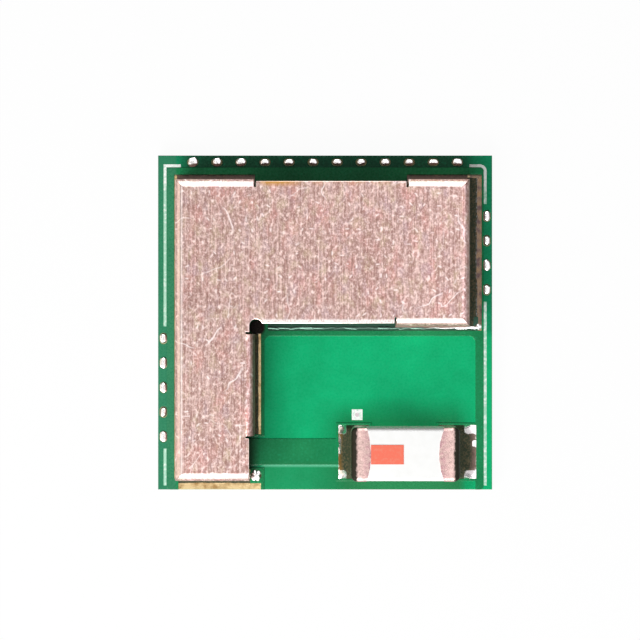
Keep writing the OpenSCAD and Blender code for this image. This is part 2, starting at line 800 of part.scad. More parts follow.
// Crystals: a ceramic base with notched corners, and a metal lid
module crystal_base(y, l) {
  color("linen") translate([crystal_x, y, seat_z]) linear_extrude(crystal_base_t) difference() {
    square([crystal_w, l], center = true);
    for (u = [-1, 1], v = [-1, 1]) translate([u * crystal_w / 2, v * l / 2]) circle(crystal_notch);
  }
}

module crystal_lid(y, l) {
  color("khaki") translate([crystal_x, y, seat_z + crystal_base_t]) linear_extrude(crystal_lid_t)
    rounded_area(crystal_w - 2 * crystal_rim, l - 2 * crystal_rim, lid_r);
}

// Chip component along X, with metal ends proud of its body
module chip_component(l, w) {
  body_w = w - 2 * end_proud;
  translate([0, 0, w / 2]) {
    cube([l - 2 * end_l, body_w, body_w], center = true);
    for (end = [-1, 1]) translate([end * (l - end_l) / 2, 0, 0]) cube([end_l, w, w], center = true);
  }
}

module capacitor(i) {
  color("burlywood") translate([CAPACITORS[i][0], CAPACITORS[i][1], seat_z])
    chip_component(capacitor_l, capacitor_w);
}

module inductor(i) {
  color("slategray") translate([INDUCTORS[i][0], INDUCTORS[i][1], seat_z]) rotate(90)
    chip_component(inductor_l, inductor_w);
}

// Film under both ends of a component, and a fillet up each end face
module end_joints(l, w) {
  for (turn = [0, 180]) rotate(turn) translate([l / 2 - end_l, w / 2, 0])
    rotate([90, 0, 0]) linear_extrude(w) {
      square([end_l, solder_film]);
      translate([end_l, 0]) fillet_profile(toe, toe_fillet_h);
    }
}

module component_solder() {
  color("lightgray") translate([0, 0, copper_top]) {
    for (c = CAPACITORS) translate(c) end_joints(capacitor_l, capacitor_w);
    for (c = INDUCTORS) translate(c) rotate(90) end_joints(inductor_l, inductor_w);
    linear_extrude(solder_film) {
      translate([crystal_x, main_crystal_y]) crystal_lands(main_crystal_l, 0);
      translate([crystal_x, sleep_crystal_y]) crystal_lands(sleep_crystal_l, 0);
    }
  }
}

laminate();
top_copper();
top_solder_mask();
bottom_solder_mask();
silkscreen();
for (row = ROWS) host_pads(row);
for (row = ROWS) plated_vias(row);
for (row = ROWS) via_solder(row);
shield_can();
shield_solder();
antenna_ceramic();
antenna_terminal(-1);  // antenna_feed_terminal
antenna_terminal(1);  // antenna_end_terminal
antenna_mark();
antenna_solder(-1);  // antenna_feed_solder
antenna_solder(1);  // antenna_end_solder
radio_chip();
radio_chip_balls();
crystal_base(main_crystal_y, main_crystal_l);  // main_crystal_base
crystal_lid(main_crystal_y, main_crystal_l);  // main_crystal_lid
crystal_base(sleep_crystal_y, sleep_crystal_l);  // sleep_crystal_base
crystal_lid(sleep_crystal_y, sleep_crystal_l);  // sleep_crystal_lid
for (i = [0 : len(CAPACITORS) - 1]) capacitor(i);
for (i = [0 : len(INDUCTORS) - 1]) inductor(i);
component_solder();
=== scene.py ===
# %% [markdown]
# # A small radio module, dressed in Blender
# The module is a ten millimetre square of green circuit board. It carries a folded metal shield, a white
# ceramic antenna and three rows of solder-filled contacts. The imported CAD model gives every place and
# size, so this lesson only adds what a drawing leaves out: soft edges, solder that has flowed, rolled
# metal, lacquer and light. Shapes are made in millimetres, where numbers are easy to read and mesh tools
# work well, and become metres in one place, the helper that makes a finished piece.

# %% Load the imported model
import json
import math
from functools import reduce

import bmesh
import bpy
from mathutils import Matrix, Vector, noise

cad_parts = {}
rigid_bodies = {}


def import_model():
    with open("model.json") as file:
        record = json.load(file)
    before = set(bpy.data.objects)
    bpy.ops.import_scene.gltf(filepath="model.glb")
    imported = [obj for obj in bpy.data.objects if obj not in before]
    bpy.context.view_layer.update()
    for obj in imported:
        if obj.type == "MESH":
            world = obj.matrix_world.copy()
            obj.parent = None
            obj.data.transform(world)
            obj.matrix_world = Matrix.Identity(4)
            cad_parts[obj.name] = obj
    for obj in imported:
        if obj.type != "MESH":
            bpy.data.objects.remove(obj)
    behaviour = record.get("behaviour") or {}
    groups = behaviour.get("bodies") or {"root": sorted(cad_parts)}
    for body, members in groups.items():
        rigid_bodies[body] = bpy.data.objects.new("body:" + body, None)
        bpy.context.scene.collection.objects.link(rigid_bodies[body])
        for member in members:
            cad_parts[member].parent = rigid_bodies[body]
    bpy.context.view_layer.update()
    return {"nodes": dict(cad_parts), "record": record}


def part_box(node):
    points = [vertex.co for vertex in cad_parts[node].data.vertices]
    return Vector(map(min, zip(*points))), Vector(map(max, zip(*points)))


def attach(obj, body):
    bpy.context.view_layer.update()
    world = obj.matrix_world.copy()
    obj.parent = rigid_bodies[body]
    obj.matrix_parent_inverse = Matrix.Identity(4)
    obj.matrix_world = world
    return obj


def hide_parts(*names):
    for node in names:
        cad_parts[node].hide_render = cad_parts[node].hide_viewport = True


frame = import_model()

scene = bpy.context.scene
MM = 0.001


def box_mm(node):
    """The low and the high corner of a solid's box, in millimetres."""
    return [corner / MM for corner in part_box(node)]


def put(name, data):
    """A new object in the scene."""
    thing = bpy.data.objects.new(name, data)
    scene.collection.objects.link(thing)
    return thing


board_low, board_high = box_mm("laminate")
copper_top = box_mm("top_copper")[1].z
print("board", [round(v, 3) for v in board_high - board_low], "mm, copper top", round(copper_top, 3))

# %% [markdown]
# ## Camera
# The module is seen from straight above, from far enough away that only a trace of its walls shows. A long
# lens does that: the board's plane is 60 mm away, and the picture is a little over 19 mm wide there. The
# board sits slightly right of and below the middle, so the camera stands slightly left of and behind it.

# %% Camera
VIEW_HEIGHT = 60.0
PICTURE_WIDTH = 19.16
CAMERA_X, CAMERA_Y = -0.153, 0.075
SENSOR_WIDTH = 36.0
NEAREST, FARTHEST = 1.0, 2000.0

scene.view_settings.view_transform = "Standard"
lens = bpy.data.cameras.new("top_view")
lens.sensor_width = SENSOR_WIDTH
lens.lens = SENSOR_WIDTH * VIEW_HEIGHT / PICTURE_WIDTH
lens.clip_start, lens.clip_end = NEAREST * MM, FARTHEST * MM
camera = put("top_view", lens)
camera.location = [CAMERA_X * MM, CAMERA_Y * MM, (copper_top + VIEW_HEIGHT) * MM]
scene.camera = camera
print("lens", round(lens.lens, 1), "mm")

# %% [markdown]
# ## Writing node trees
# Finishes and solder are both made with node trees. A tree could be wired node by node, but the same few
# steps come back all the time: add a node, set it, and fill or link its sockets. A small class keeps them, so
# the cells below tell what is made and not how nodes are wired.

# %% Helpers for node trees
class Nodes:
    """A node tree and the steps to build it."""

    def __init__(self, tree):
        self.tree = tree

    def add(self, kind, sockets=None, **settings):
        """Adds a node, sets it, links or fills its sockets, and returns what comes out of it."""
        node = self.tree.nodes.new(kind)
        for key, value in settings.items():
            setattr(node, key, value)
        for key, value in (sockets or {}).items():
            if isinstance(value, bpy.types.NodeSocket):
                self.tree.links.new(value, node.inputs[key])
            else:
                node.inputs[key].default_value = value
        return node.outputs

    def math(self, operation, *values):
        return self.add("ShaderNodeMath", dict(enumerate(values)), operation=operation)[0]

    def chain(self, operation, values):
        """Joins any number of values by one operation."""
        return reduce(lambda first, second: self.math(operation, first, second), values)

    def vector(self, operation, *values):
        return self.add("ShaderNodeVectorMath", dict(enumerate(values)), operation=operation)

    def point(self, x=0.0, y=0.0, z=0.0):
        return self.add("ShaderNodeCombineXYZ", {0: x, 1: y, 2: z})[0]

    def noise(self, place, scale, detail):
        return self.add("ShaderNodeTexNoise", {"Vector": place, "Scale": scale, "Detail": detail})


print("helpers for node trees ready")

# %% [markdown]
# ## Writing finishes
# Every finish is a Principled shader with textures in front of it. All textures read the Object coordinates,
# turned into millimetres, so a grain of 0.02 is a fiftieth of a millimetre on the real part. A colour is
# built like a painting: a ground, and layers of tone over it, each inside its own zone. A zone is a list of
# edges. Each edge names a source, where it starts and where it is full, and how strong it is at both if that
# isn't 0 and 1. A source is an axis, a grain of noise, a number that the mesh keeps at its points, or the
# distance from a spot on the board.

# %% Helpers for finishes
MIDDLE = (0.3, 0.7)  # most values of a noise lie between these
FLAT = (1.0, 1.0, 0.0)
EDGE_SAMPLES = 6


class Finish(Nodes):
    """A material: one Principled shader, with named sources and layers of tone in front of it."""

    def __init__(self, name, color, metallic=0.0, roughness=0.5, specular=0.5, grains=(), kept=(), spots=()):
        self.material = bpy.data.materials.new(name)
        self.material.use_nodes = True
        super().__init__(self.material.node_tree)
        self.shader = self.tree.nodes["Principled BSDF"]
        for label, value in (("Base Color", (*color, 1.0)), ("Metallic", metallic), ("Roughness", roughness),
                             ("Specular IOR Level", specular)):
            self.shader.inputs[label].default_value = value
        place = self.add("ShaderNodeTexCoord")["Object"]
        self.where = self.add("ShaderNodeVectorMath", {0: place, "Scale": 1 / MM}, operation="SCALE")[0]
        self.sources = dict(zip("xyz", self.add("ShaderNodeSeparateXYZ", {"Vector": self.where})))
        for label, sizes in dict(grains).items():
            self.sources[label] = self.grain(*sizes)
        for label in kept:
            self.sources[label] = self.add("ShaderNodeAttribute", attribute_name=label)["Fac"]
        for label, spot in dict(spots).items():
            flat = self.vector("MULTIPLY", self.where, FLAT)[0]
            self.sources[label] = self.vector("DISTANCE", flat, (*spot, 0.0))["Value"]

    def grain(self, detail, x, y=None, z=None):
        """Noise with grains of one length, or of a length for each axis."""
        scale = [1 / length for length in (x, y or x, z or x)]
        spread = self.add("ShaderNodeMapping", {"Vector": self.where, "Scale": scale})[0]
        return self.noise(spread, 1.0, detail)["Fac"]

    def ramp(self, source, low, high, start=0.0, end=1.0):
        """Goes from start to end while the source goes from low to high."""
        return self.add("ShaderNodeMapRange", {"Value": self.sources.get(source, source), "From Min": low,
                                               "From Max": high, "To Min": start, "To Max": end})[0]

    def zone(self, *edges):
        """Full inside all edges."""
        return self.chain("MULTIPLY", [self.ramp(*edge) for edge in edges])

    def mix(self, share, first, second):
        tones = [tone if isinstance(tone, bpy.types.NodeSocket) else (*tone, 1.0) for tone in (first, second)]
        return self.add("ShaderNodeMix", {0: share, 6: tones[0], 7: tones[1]}, data_type="RGBA")[2]

    def lay(self, color, layers):
        """Lays tones over a colour, one after another; each layer is its edges and then its tone."""
        for *edges, tone in layers.values():
            color = self.mix(self.zone(*edges), color, tone)
        return color

    def feed(self, label, socket):
        self.tree.links.new(socket, self.shader.inputs[label])

    def polish(self, source, smoothest, roughest):
        self.feed("Roughness", self.ramp(source, *MIDDLE, smoothest, roughest))

    def dull(self, share, color, tone):
        """Darkened metal, burnt flux and painted shade alike: it takes on the tone and no longer reflects as
        metal does.
        """
        self.feed("Base Color", self.mix(share, color, tone))
        self.feed("Metallic", self.ramp(share, 0.0, 1.0, 1.0, 0.0))

    def relief(self, source, depth, strength, rounding=0.0):
        """Fine bumps, and where asked for, edges that look rounded."""
        sockets = {"Height": self.sources.get(source, source), "Distance": depth * MM, "Strength": strength}
        if rounding:
            bevel = self.add("ShaderNodeBevel", {"Radius": rounding * MM}, samples=EDGE_SAMPLES)
            sockets["Normal"] = bevel[0]
        self.feed("Normal", self.add("ShaderNodeBump", sockets)[0])


print("helpers for finishes ready")

# %% [markdown]
# ## Rolled nickel silver
# The shield is stamped from rolled nickel silver, a pinkish grey metal. Rolling leaves fine grain along the
# strip, and handling leaves long and short scratches in every direction. A scratch could be painted, but a
# cell texture gives an endless supply: in each cell the point is measured from the cell's centre, turned by
# the cell's own random angle, and kept where it lies close to one axis.
#
# The grain is noise that is stretched along the strip, in several sizes, with a tone for each. The shield's
# mesh keeps a number called `fold`, from 0 on the flat top to 1 where a wall begins, so the bends can be
# painted brighter than the sheet, as a painted highlight. It is negative where a wall gets painted shade. Two
# edges are special: the sheared edge at the back has a golden tinge, and the arm's open edge gets a painted
# highlight.

# %% Scratches
SWAY = 1.7
TAPER = 0.4
SCARCE, COMMON = 0.35, 0.75
# Cell, half width, half length and curl.
LONG_MARKS = (1.15, 0.030, 0.55, 0.5)
SHORT_MARKS = (0.36, 0.034, 0.080, 0.15)


def scratches(metal, cell, width, length, curl):
    """Share of at most one scratch in each cell, turned at random and curling a little."""
    sway = metal.noise(metal.where, SWAY, 1.0)["Color"]
    bent = metal.vector("MULTIPLY_ADD", sway, (curl, curl, 0.0), metal.where)[0]
    flat = metal.vector("MULTIPLY", bent, FLAT)[0]
    cells = metal.add("ShaderNodeTexVoronoi", {"Vector": flat, "Scale": 1 / cell})
    away = metal.vector("SUBTRACT", flat, cells["Position"])[0]
    chance = metal.add("ShaderNodeSeparateColor", {"Color": cells["Color"]})
    angle = metal.math("MULTIPLY", chance[0], math.tau)
    turned = metal.add("ShaderNodeVectorRotate", {"Vector": away, "Angle": angle}, rotation_type="Z_AXIS")[0]
    axes = metal.add("ShaderNodeSeparateXYZ", {"Vector": turned})
    along, side = [metal.math("ABSOLUTE", axis) for axis in axes[:2]]
    return metal.zone((side, width, 0.0), (along, length, TAPER * length), (chance[1], SCARCE, COMMON))


print("long scratches up to", 2 * LONG_MARKS[2], "mm, short ones", 2 * SHORT_MARKS[2], "mm")

# %% Rolled nickel silver
# Detail, length across and length along the strip.
METAL_GRAINS = {
    "strip": (4.0, 0.060, 0.55), "lines": (2.0, 0.040, 3.20), "flecks": (2.0, 0.085, 0.135),
    "specks": (1.5, 0.036, 0.050), "tan": (3.0, 0.26, 0.46), "rose": (3.0, 0.37, 0.70),
    "mauve": (3.0, 0.31, 0.62),
}
METAL_GROUND = ((0.34, 0.198, 0.172), (0.63, 0.434, 0.39))
METAL_LAYERS = {
    "tan patches": [("tan", 0.50, 0.66, 0.0, 0.75), (0.55, 0.43, 0.30)],
    "rose patches": [("rose", 0.51, 0.67, 0.0, 0.75), (0.60, 0.30, 0.27)],
    "mauve patches": [("mauve", 0.46, 0.32, 0.0, 0.60), (0.46, 0.33, 0.36)],
    "dark lines": [("lines", 0.52, 0.68, 0.0, 0.80), (0.35, 0.198, 0.168)],
    "light lines": [("lines", 0.48, 0.32, 0.0, 0.55), (0.78, 0.57, 0.52)],
    "light specks": [("specks", 0.52, 0.72, 0.0, 0.60), (0.88, 0.68, 0.63)],
    "dark specks": [("specks", 0.46, 0.28, 0.0, 0.60), (0.30, 0.17, 0.14)],
    "light flecks": [("flecks", 0.55, 0.74, 0.0, 0.88), (0.95, 0.76, 0.71)],
    "dark flecks": [("flecks", 0.44, 0.32, 0.0, 0.60), (0.28, 0.155, 0.125)],
    "scratches": [("marks", 0.0, 1.0, 0.0, 0.8), (1.0, 0.90, 0.88)],
    "golden sheared edge": [("y", 3.98, 4.12), ("x", -2.08, -2.02), ("x", -0.6, -1.3, 0.25, 1.0),
                            ("rose", 0.42, 0.52, 0.0, 0.95), (0.56, 0.29, 0.07)],
    # Painted highlight along the arm's open edge, broken up by specks.
    "painted highlight on the open edge": [("y", 0.12, 0.06), ("y", -0.3, -0.2), ("x", -1.92, -1.82), ("x", 2.06, 2.02),
                         ("specks", 0.34, 0.50, 0.35, 0.85), (0.97, 0.90, 0.87)],
    # Painted highlight: the bends are painted lighter than the flat sheet.
    "bends": [("bend", 0.0, 1.0, 0.0, 0.45), (0.92, 0.80, 0.76)],
    # Painted shade on the lower bends and walls where the fold is negative.
    "painted shade on the walls": [("fold", -0.28, -0.78, 0.0, 0.85), (0.085, 0.075, 0.055)],
}
BENDS, WALL_START = [("fold", 0.0, 0.06), ("fold", 0.60, 0.42)], (0.42, 0.60)
STRIP_SPREAD = (0.36, 0.64)
SHEET_ROUGH, BEND_ROUGH, WALL_ROUGHER = 0.36, 0.29, 0.22

nickel_silver = Finish("brushed_nickel_silver", (0.66, 0.44, 0.39), metallic=1.0, roughness=0.34,
                       grains=METAL_GRAINS, kept=["fold"])
marks = [scratches(nickel_silver, *sizes) for sizes in (LONG_MARKS, SHORT_MARKS)]
nickel_silver.sources["marks"] = nickel_silver.chain("MAXIMUM", marks)
nickel_silver.sources["bend"] = nickel_silver.zone(*BENDS)
ground = nickel_silver.mix(nickel_silver.ramp("strip", *STRIP_SPREAD), *METAL_GROUND)
nickel_silver.feed("Base Color", nickel_silver.lay(ground, METAL_LAYERS))
wall = nickel_silver.ramp(nickel_silver.math("ABSOLUTE", nickel_silver.sources["fold"]), *WALL_START)
sheet = nickel_silver.ramp("bend", 0.0, 1.0, SHEET_ROUGH, BEND_ROUGH)
nickel_silver.feed("Roughness", nickel_silver.math("MULTIPLY_ADD", wall, WALL_ROUGHER, sheet))
height = nickel_silver.math("SUBTRACT", nickel_silver.sources["strip"], nickel_silver.sources["marks"])
nickel_silver.relief(height, depth=0.003, strength=0.25)
print("nickel silver has", len(METAL_LAYERS), "layers of tone")

# %% [markdown]
# ## Lacquer and ink
# Green lacquer covers the board, and looks duller and more olive where copper lies beneath. The lacquer
# stands higher there too, so its own height says where the copper is, and no mask has to be painted. Around
# the shield and the antenna it is painted darker, a painted shade of what stands beside it, and a painted
# glint lies on the step of the feed trace. All this is on the upper side. The underside gets none of this
# painted light, so a last zone keeps it plain. The ink is thin, so a little green shows through it in places,
# most of all on the two long side lines.

# %% Lacquer
HOLE = (-2.04, -0.15)
MARK_MIDDLE = (0.96, -2.76)
UPPER_SIDE = ("z", 0.2, 0.3)
STEP_FADE = 0.006
GREENS = {
    "clear": ((0.002, 0.38, 0.142), (0.003, 0.47, 0.180)),
    "over copper": ((0.008, 0.195, 0.066), (0.013, 0.255, 0.090)),
    "underside": ((0.003, 0.215, 0.088), (0.004, 0.265, 0.108)),
}
CLEAR_FIELD, ROUND_FIELD = [("x", -2.0, -1.8), ("y", -0.20, -0.45)], (0.003, 0.255, 0.108)
BACK_LAYERS = {"shade behind the shield": [("y", 4.38, 4.46), ("x", -4.45, -4.0), ("x", 4.45, 4.0, 0.0, 0.8),
                                           (0.010, 0.080, 0.038)]}
LACQUER_LAYERS = {
    "glints": [("fine", 0.55, 0.8, 0.0, 0.3), (0.01, 0.52, 0.24)],
    # Painted shade under the hole at the shield's inner corner.
    "painted shade under the hole": [("hole", 0.29, 0.20), (0.012, 0.006, 0.003)],
    # Painted shadow of the leg, beside its open edge.
    "beside the leg": [("y", -4.50, -4.40), ("y", -3.36, -3.44), ("x", -1.93, -2.24, 0.0, 0.78),
                       ("x", -3.0, -2.8), (0.010, 0.026, 0.010)],
    # Painted shade behind the antenna.
    "painted shade behind the antenna": [("x", -0.5, 0.6), ("x", 4.5, 3.9), ("y", -2.20, -2.95), (0.004, 0.225, 0.076)],
    # Painted shade in front of the antenna.
    "painted shade before the antenna": [("y", -4.12, -4.22), ("x", 0.3, 0.8, 0.5, 1.0), ("x", -2.0, -1.8),
                           ("x", 4.2, 4.0), (0.018, 0.198, 0.068)],
    "middle of the mark": [("mark", 0.085, 0.065), (0.66, 0.60, 0.62)],
    # Painted glint along the step of the feed trace.
    "painted glint on the trace's step": [("y", -4.345, -4.305), ("y", -4.235, -4.275, 0.0, 0.95), ("x", -1.95, -1.80),
                          ("x", 0.7, 0.4), (0.095, 0.45, 0.255)],
    "left strip": [("x", -4.42, -4.50, 0.0, 0.7), (0.040, 0.205, 0.112)],
}

lacquer = Finish("green_lacquer", (0.004, 0.46, 0.175), roughness=0.28, specular=0.3,
                 grains={"cloud": (3.0, 0.9), "fine": (2.0, 0.07)},
                 spots={"hole": HOLE, "mark": MARK_MIDDLE})
clear, backed, below = [lacquer.mix(lacquer.ramp("cloud", *MIDDLE), *pair) for pair in GREENS.values()]
clear = lacquer.lay(lacquer.mix(lacquer.zone(*CLEAR_FIELD), ROUND_FIELD, clear), BACK_LAYERS)
color = lacquer.mix(lacquer.ramp("z", copper_top - STEP_FADE, copper_top + STEP_FADE), clear, backed)
color = lacquer.lay(color, LACQUER_LAYERS)
lacquer.feed("Base Color", lacquer.mix(lacquer.ramp(*UPPER_SIDE), below, color))
lacquer.polish("fine", 0.22, 0.36)
lacquer.relief("fine", depth=0.003, strength=0.25, rounding=0.035)
print("lacquer has", len(LACQUER_LAYERS), "layers of tone")

# %% Ink
WORN = (0.50, 0.78, 0.0, 0.8)
WORN_LINES = [[("x", -4.2, -4.6, 0.0, 0.30), ("y", 4.2, 3.9)], [("x", 4.2, 4.6, 0.0, 0.20), ("y", 4.2, 3.9)]]


def printed_ink(name, color, showing):
    ink = Finish(name, color, roughness=0.55, specular=0.3, grains={"patch": (4.0, 0.09)})
    thin = ink.chain("ADD", [ink.sources["patch"]] + [ink.zone(*edges) for edges in WORN_LINES])
    ink.feed("Base Color", ink.mix(ink.ramp(thin, *WORN), color, showing))
    ink.relief(thin, depth=0.004, strength=0.4)
    return ink


white_ink = printed_ink("white_ink", (0.91, 0.95, 0.92), (0.25, 0.62, 0.42))
red_ink = printed_ink("red_ink", (0.93, 0.19, 0.12), (0.88, 0.30, 0.21))
print("ink is worn on", len(WORN_LINES), "lines")

# %% [markdown]
# ## Gold and board
# Bare copper has a flash of gold over it, which turns brown where flux was heated. Right of the shield the
# land is painted brown as well, a painted shade. Close to the contacts, the antenna's ends and the drop of
# solder at the leg's foot it is nearly black. The board itself is glass cloth in resin, cut with a saw, so
# its edges show pale threads in thin layers.

# %% Gold and board
LEG_DROP_MIDDLE = (-2.07, -4.58)
STAIN_SPREAD = (0.42, 0.66)
GOLDS = {
    "upper side": ((0.66, 0.51, 0.27), (0.36, 0.225, 0.09)),
    "underside": ((0.78, 0.60, 0.31), (0.62, 0.45, 0.21)),
}
BLACK_PLACES = {
    "back contacts": [("y", 4.36, 4.42)], "left contacts": [("x", -4.68, -4.72)],
    "right contacts": [("x", 4.68, 4.72)], "antenna ends": [("y", -2.6, -2.7), ("x", -0.2, 0.0)],
    "round the drop": [("drop", 0.22, 0.20)],
}
GOLD_LAYERS = {
    # Painted shade: the land right of the shield is painted brown, unevenly.
    "painted shade right of the shield": [("x", 4.22, 4.36), ("y", -0.30, -0.10), ("stain", 0.70, 0.40, 0.55, 1.0),
                   (0.100, 0.066, 0.062)],
    # Darker, nearly black, near the contacts, the antenna's ends and the drop of solder.
    "nearly black near solder": [("black", 0.0, 1.0, 0.0, 0.9), (0.030, 0.036, 0.020)],
}
BOARD_GROUND = (0.34, 0.38, 0.17)
BOARD_LAYERS = {
    "pale layers": [("layers", 0.35, 0.65), (0.62, 0.62, 0.38)],
    "threads": [("threads", 0.58, 0.75, 0.0, 0.6), (0.80, 0.80, 0.66)],
}

gold = Finish("gold_flash", (0.90, 0.66, 0.32), metallic=1.0, roughness=0.34,
              grains={"stain": (4.0, 0.22), "pits": (2.0, 0.03)}, spots={"drop": LEG_DROP_MIDDLE})
upper, below = [gold.mix(gold.ramp("stain", *STAIN_SPREAD), *pair) for pair in GOLDS.values()]
gold.sources["black"] = gold.chain("MAXIMUM", [gold.zone(*edges) for edges in BLACK_PLACES.values()])
gold.feed("Base Color", gold.mix(gold.ramp(*UPPER_SIDE), below, gold.lay(upper, GOLD_LAYERS)))
gold.polish("pits", 0.26, 0.46)
gold.relief("pits", depth=0.004, strength=0.35)

board_resin = Finish("glass_board", (0.45, 0.48, 0.24), roughness=0.6, specular=0.4,
                     grains={"layers": (3.0, 0.5, 0.5, 0.035), "threads": (2.0, 0.05, 0.05, 0.02)})
board_resin.feed("Base Color", board_resin.lay(BOARD_GROUND, BOARD_LAYERS))
board_resin.relief("threads", depth=0.010, strength=0.5)
print("gold is black in", len(BLACK_PLACES), "places")

# %% [markdown]
# ## Solder
# Fresh solder is bright. Where it lies deep in a corner it is painted dark: partly burnt flux, partly painted
# shade, since the walls round a corner keep light off. How deep in a corner a point lies is known when the
# solder is shaped, so the mesh keeps it as a number called `corner`, from 0 in the open to 1 in the corner.
# A second number, `rosy`, tints the dark part: above 0 it is rose, and golden at the antenna's feed end, and
# below 0 it is mint, a painted reflection of the green lacquer.

# %% Solder
# Mint on bright solder is a painted reflection of the green lacquer, and dark mint is painted shade in the
# lacquer's colour.
BRIGHT, MINT_REFLECTION = (0.93, 0.91, 0.89), (0.085, 0.145, 0.115)
BROWN, DARK, MINT_SHADE = (0.120, 0.100, 0.054), (0.038, 0.050, 0.028), (0.030, 0.085, 0.055)
ROSE_TINT, GOLDEN_TINT = (0.34, 0.215, 0.185), (0.25, 0.125, 0.022)
FEED_END = [("x", 0.30, 0.40), ("x", 0.95, 0.85), ("y", -2.8, -3.0)]
MINT = ("rosy", 0.0, -1.0)
SPOT_SPREAD, SPOT_DEPTH = (0.45, 0.65), 0.5
FLUX_AND_SHADE_FROM, FLUX_AND_SHADE_ROUGH = (0.35, 0.55), 0.6
SHINE = (0.16, 0.34)

solder = Finish("solder", BRIGHT, metallic=1.0, roughness=0.24, specular=0.1,
                grains={"spots": (3.0, 0.06), "rough": (2.0, 0.02)}, kept=["corner", "rosy"])
uneven = solder.math("SUBTRACT", solder.sources["spots"], 0.5)
# The dark part stands for burnt flux, and for painted shade in corners and on the shaded side of each bump.
depth = solder.math("MULTIPLY_ADD", uneven, SPOT_DEPTH, solder.sources["corner"])
tinge = solder.mix(solder.zone(*FEED_END), ROSE_TINT, GOLDEN_TINT)
flux_and_shade = solder.mix(solder.ramp("spots", *SPOT_SPREAD), DARK, BROWN)
flux_and_shade = solder.lay(flux_and_shade, {"tinge": [("rosy", 0.0, 1.0), tinge], "mint": [MINT, MINT_SHADE]})
share = solder.ramp(depth, *FLUX_AND_SHADE_FROM)
solder.dull(share, solder.lay(BRIGHT, {"mint": [MINT, MINT_REFLECTION]}), flux_and_shade)
shiny = solder.ramp("rough", *MIDDLE, *SHINE)
solder.feed("Roughness", solder.math("MAXIMUM", shiny, solder.math("MULTIPLY", share, FLUX_AND_SHADE_ROUGH)))
solder.relief("rough", depth=0.004, strength=0.3)
print("solder has", len(solder.tree.nodes), "nodes")

# %% [markdown]
# ## Ceramic, silver paste and the parts under the shield
# The antenna is fired white ceramic with ends of silver paste, which is rough and a little pink. The paste is
# thin and mauve along its border, another number that the mesh keeps. Round the upper rim of the end face it
# is painted black, a painted dark reflection, since the rounding there faces dark surroundings. The small
# parts under the shield hardly show, only through the open stretches between its tabs, and get plain fired
# and plated finishes.

# %% Ceramic, silver paste and the parts under the shield
def fired_ceramic(name, color, shade):
    fired = Finish(name, color, roughness=0.42, specular=0.35,
                   grains={"body": (4.0, 0.25), "pores": (2.0, 0.035)})
    fired.feed("Base Color", fired.lay(color, {"shade": [("body", 0.40, 0.75, 0.0, 0.6), shade]}))
    fired.polish("pores", 0.34, 0.52)
    fired.relief("pores", depth=0.004, strength=0.3)
    return fired


white_ceramic = fired_ceramic("white_ceramic", (0.96, 0.96, 0.95), (0.90, 0.90, 0.88))
silicon = fired_ceramic("ground_silicon", (0.09, 0.09, 0.10), (0.14, 0.14, 0.15))
dark_ceramic = fired_ceramic("dark_ceramic", (0.17, 0.15, 0.14), (0.23, 0.21, 0.20))
tan_ceramic = fired_ceramic("tan_ceramic", (0.60, 0.44, 0.29), (0.50, 0.36, 0.23))
grey_ceramic = fired_ceramic("grey_ceramic", (0.33, 0.36, 0.40), (0.42, 0.45, 0.49))

DARK_RIM_START, DARK_RIM_END = 0.17, 0.30
LUMP_DEPTH = 0.6
PASTE_LAYERS = {
    "streaks": [("streaks", 0.50, 0.70, 0.0, 0.5), (0.33, 0.205, 0.19)],
    "thin border": [("border", 0.0, 1.0), ("lumps", 0.38, 0.58), (0.30, 0.16, 0.18)],
}
PASTE_GROUND, PASTE_DARK_REFLECTION = (0.60, 0.43, 0.39), (0.022, 0.020, 0.012)
BLACK_FROM = (0.20, 0.45)
LID_SPREAD, LID_TONES = (0.35, 0.65), ((0.70, 0.56, 0.30), (0.90, 0.78, 0.52))

cap_top = box_mm("antenna_end_terminal")[1].z
paste = Finish("silver_paste", (0.80, 0.66, 0.62), metallic=1.0, roughness=0.40, specular=0.1,
               grains={"lumps": (4.0, 0.11), "streaks": (3.0, 0.03, 0.20, 0.05)},
               kept=["corner", "border"])
# Painted dark reflection: the paste is painted black round the upper rim of the end face.
by_rim = paste.ramp("z", cap_top - DARK_RIM_END, cap_top - DARK_RIM_START)
corner = paste.math("MULTIPLY", paste.sources["corner"], by_rim)
uneven = paste.math("SUBTRACT", paste.sources["lumps"], 0.5)
depth = paste.math("MULTIPLY_ADD", uneven, LUMP_DEPTH, corner)
paste.dull(paste.ramp(depth, *BLACK_FROM), paste.lay(PASTE_GROUND, PASTE_LAYERS), PASTE_DARK_REFLECTION)
paste.polish("lumps", 0.30, 0.52)
paste.relief("lumps", depth=0.018, strength=0.6)

lid_plating = Finish("lid_plating", (0.83, 0.70, 0.42), metallic=1.0, roughness=0.32,
                     grains={"rolled": (3.0, 0.40, 0.03)})
lid_plating.feed("Base Color", lid_plating.mix(lid_plating.ramp("rolled", *LID_SPREAD), *LID_TONES))
lid_plating.relief("rolled", depth=0.004, strength=0.3)
print("caps are painted dark from", round(cap_top - DARK_RIM_END, 2), "mm up")

# %% [markdown]
# ## Dressing the solids that stay
# Where the solid's shape is already right, it stays and only changes its finish. The record says which
# material slot each solid belongs to, so one table from slot to finish dresses all of them.

# %% Dress the solids
FINISHES = {
    "laminate": board_resin, "plated_copper": gold, "solder_mask": lacquer, "white_ink": white_ink,
    "solder": solder, "nickel_silver": nickel_silver, "white_ceramic": white_ceramic,
    "terminal_silver": paste, "red_ink": red_ink, "silicon": silicon, "crystal_ceramic": dark_ceramic,
    "lid_metal": lid_plating, "capacitor_body": tan_ceramic, "inductor_body": grey_ceramic,
}
for subpart in frame["record"]["subparts"]:
    solid = frame["nodes"][subpart["node"]]
    solid.data.materials.clear()
    solid.data.materials.append(FINISHES[subpart["material_slot"]].material)

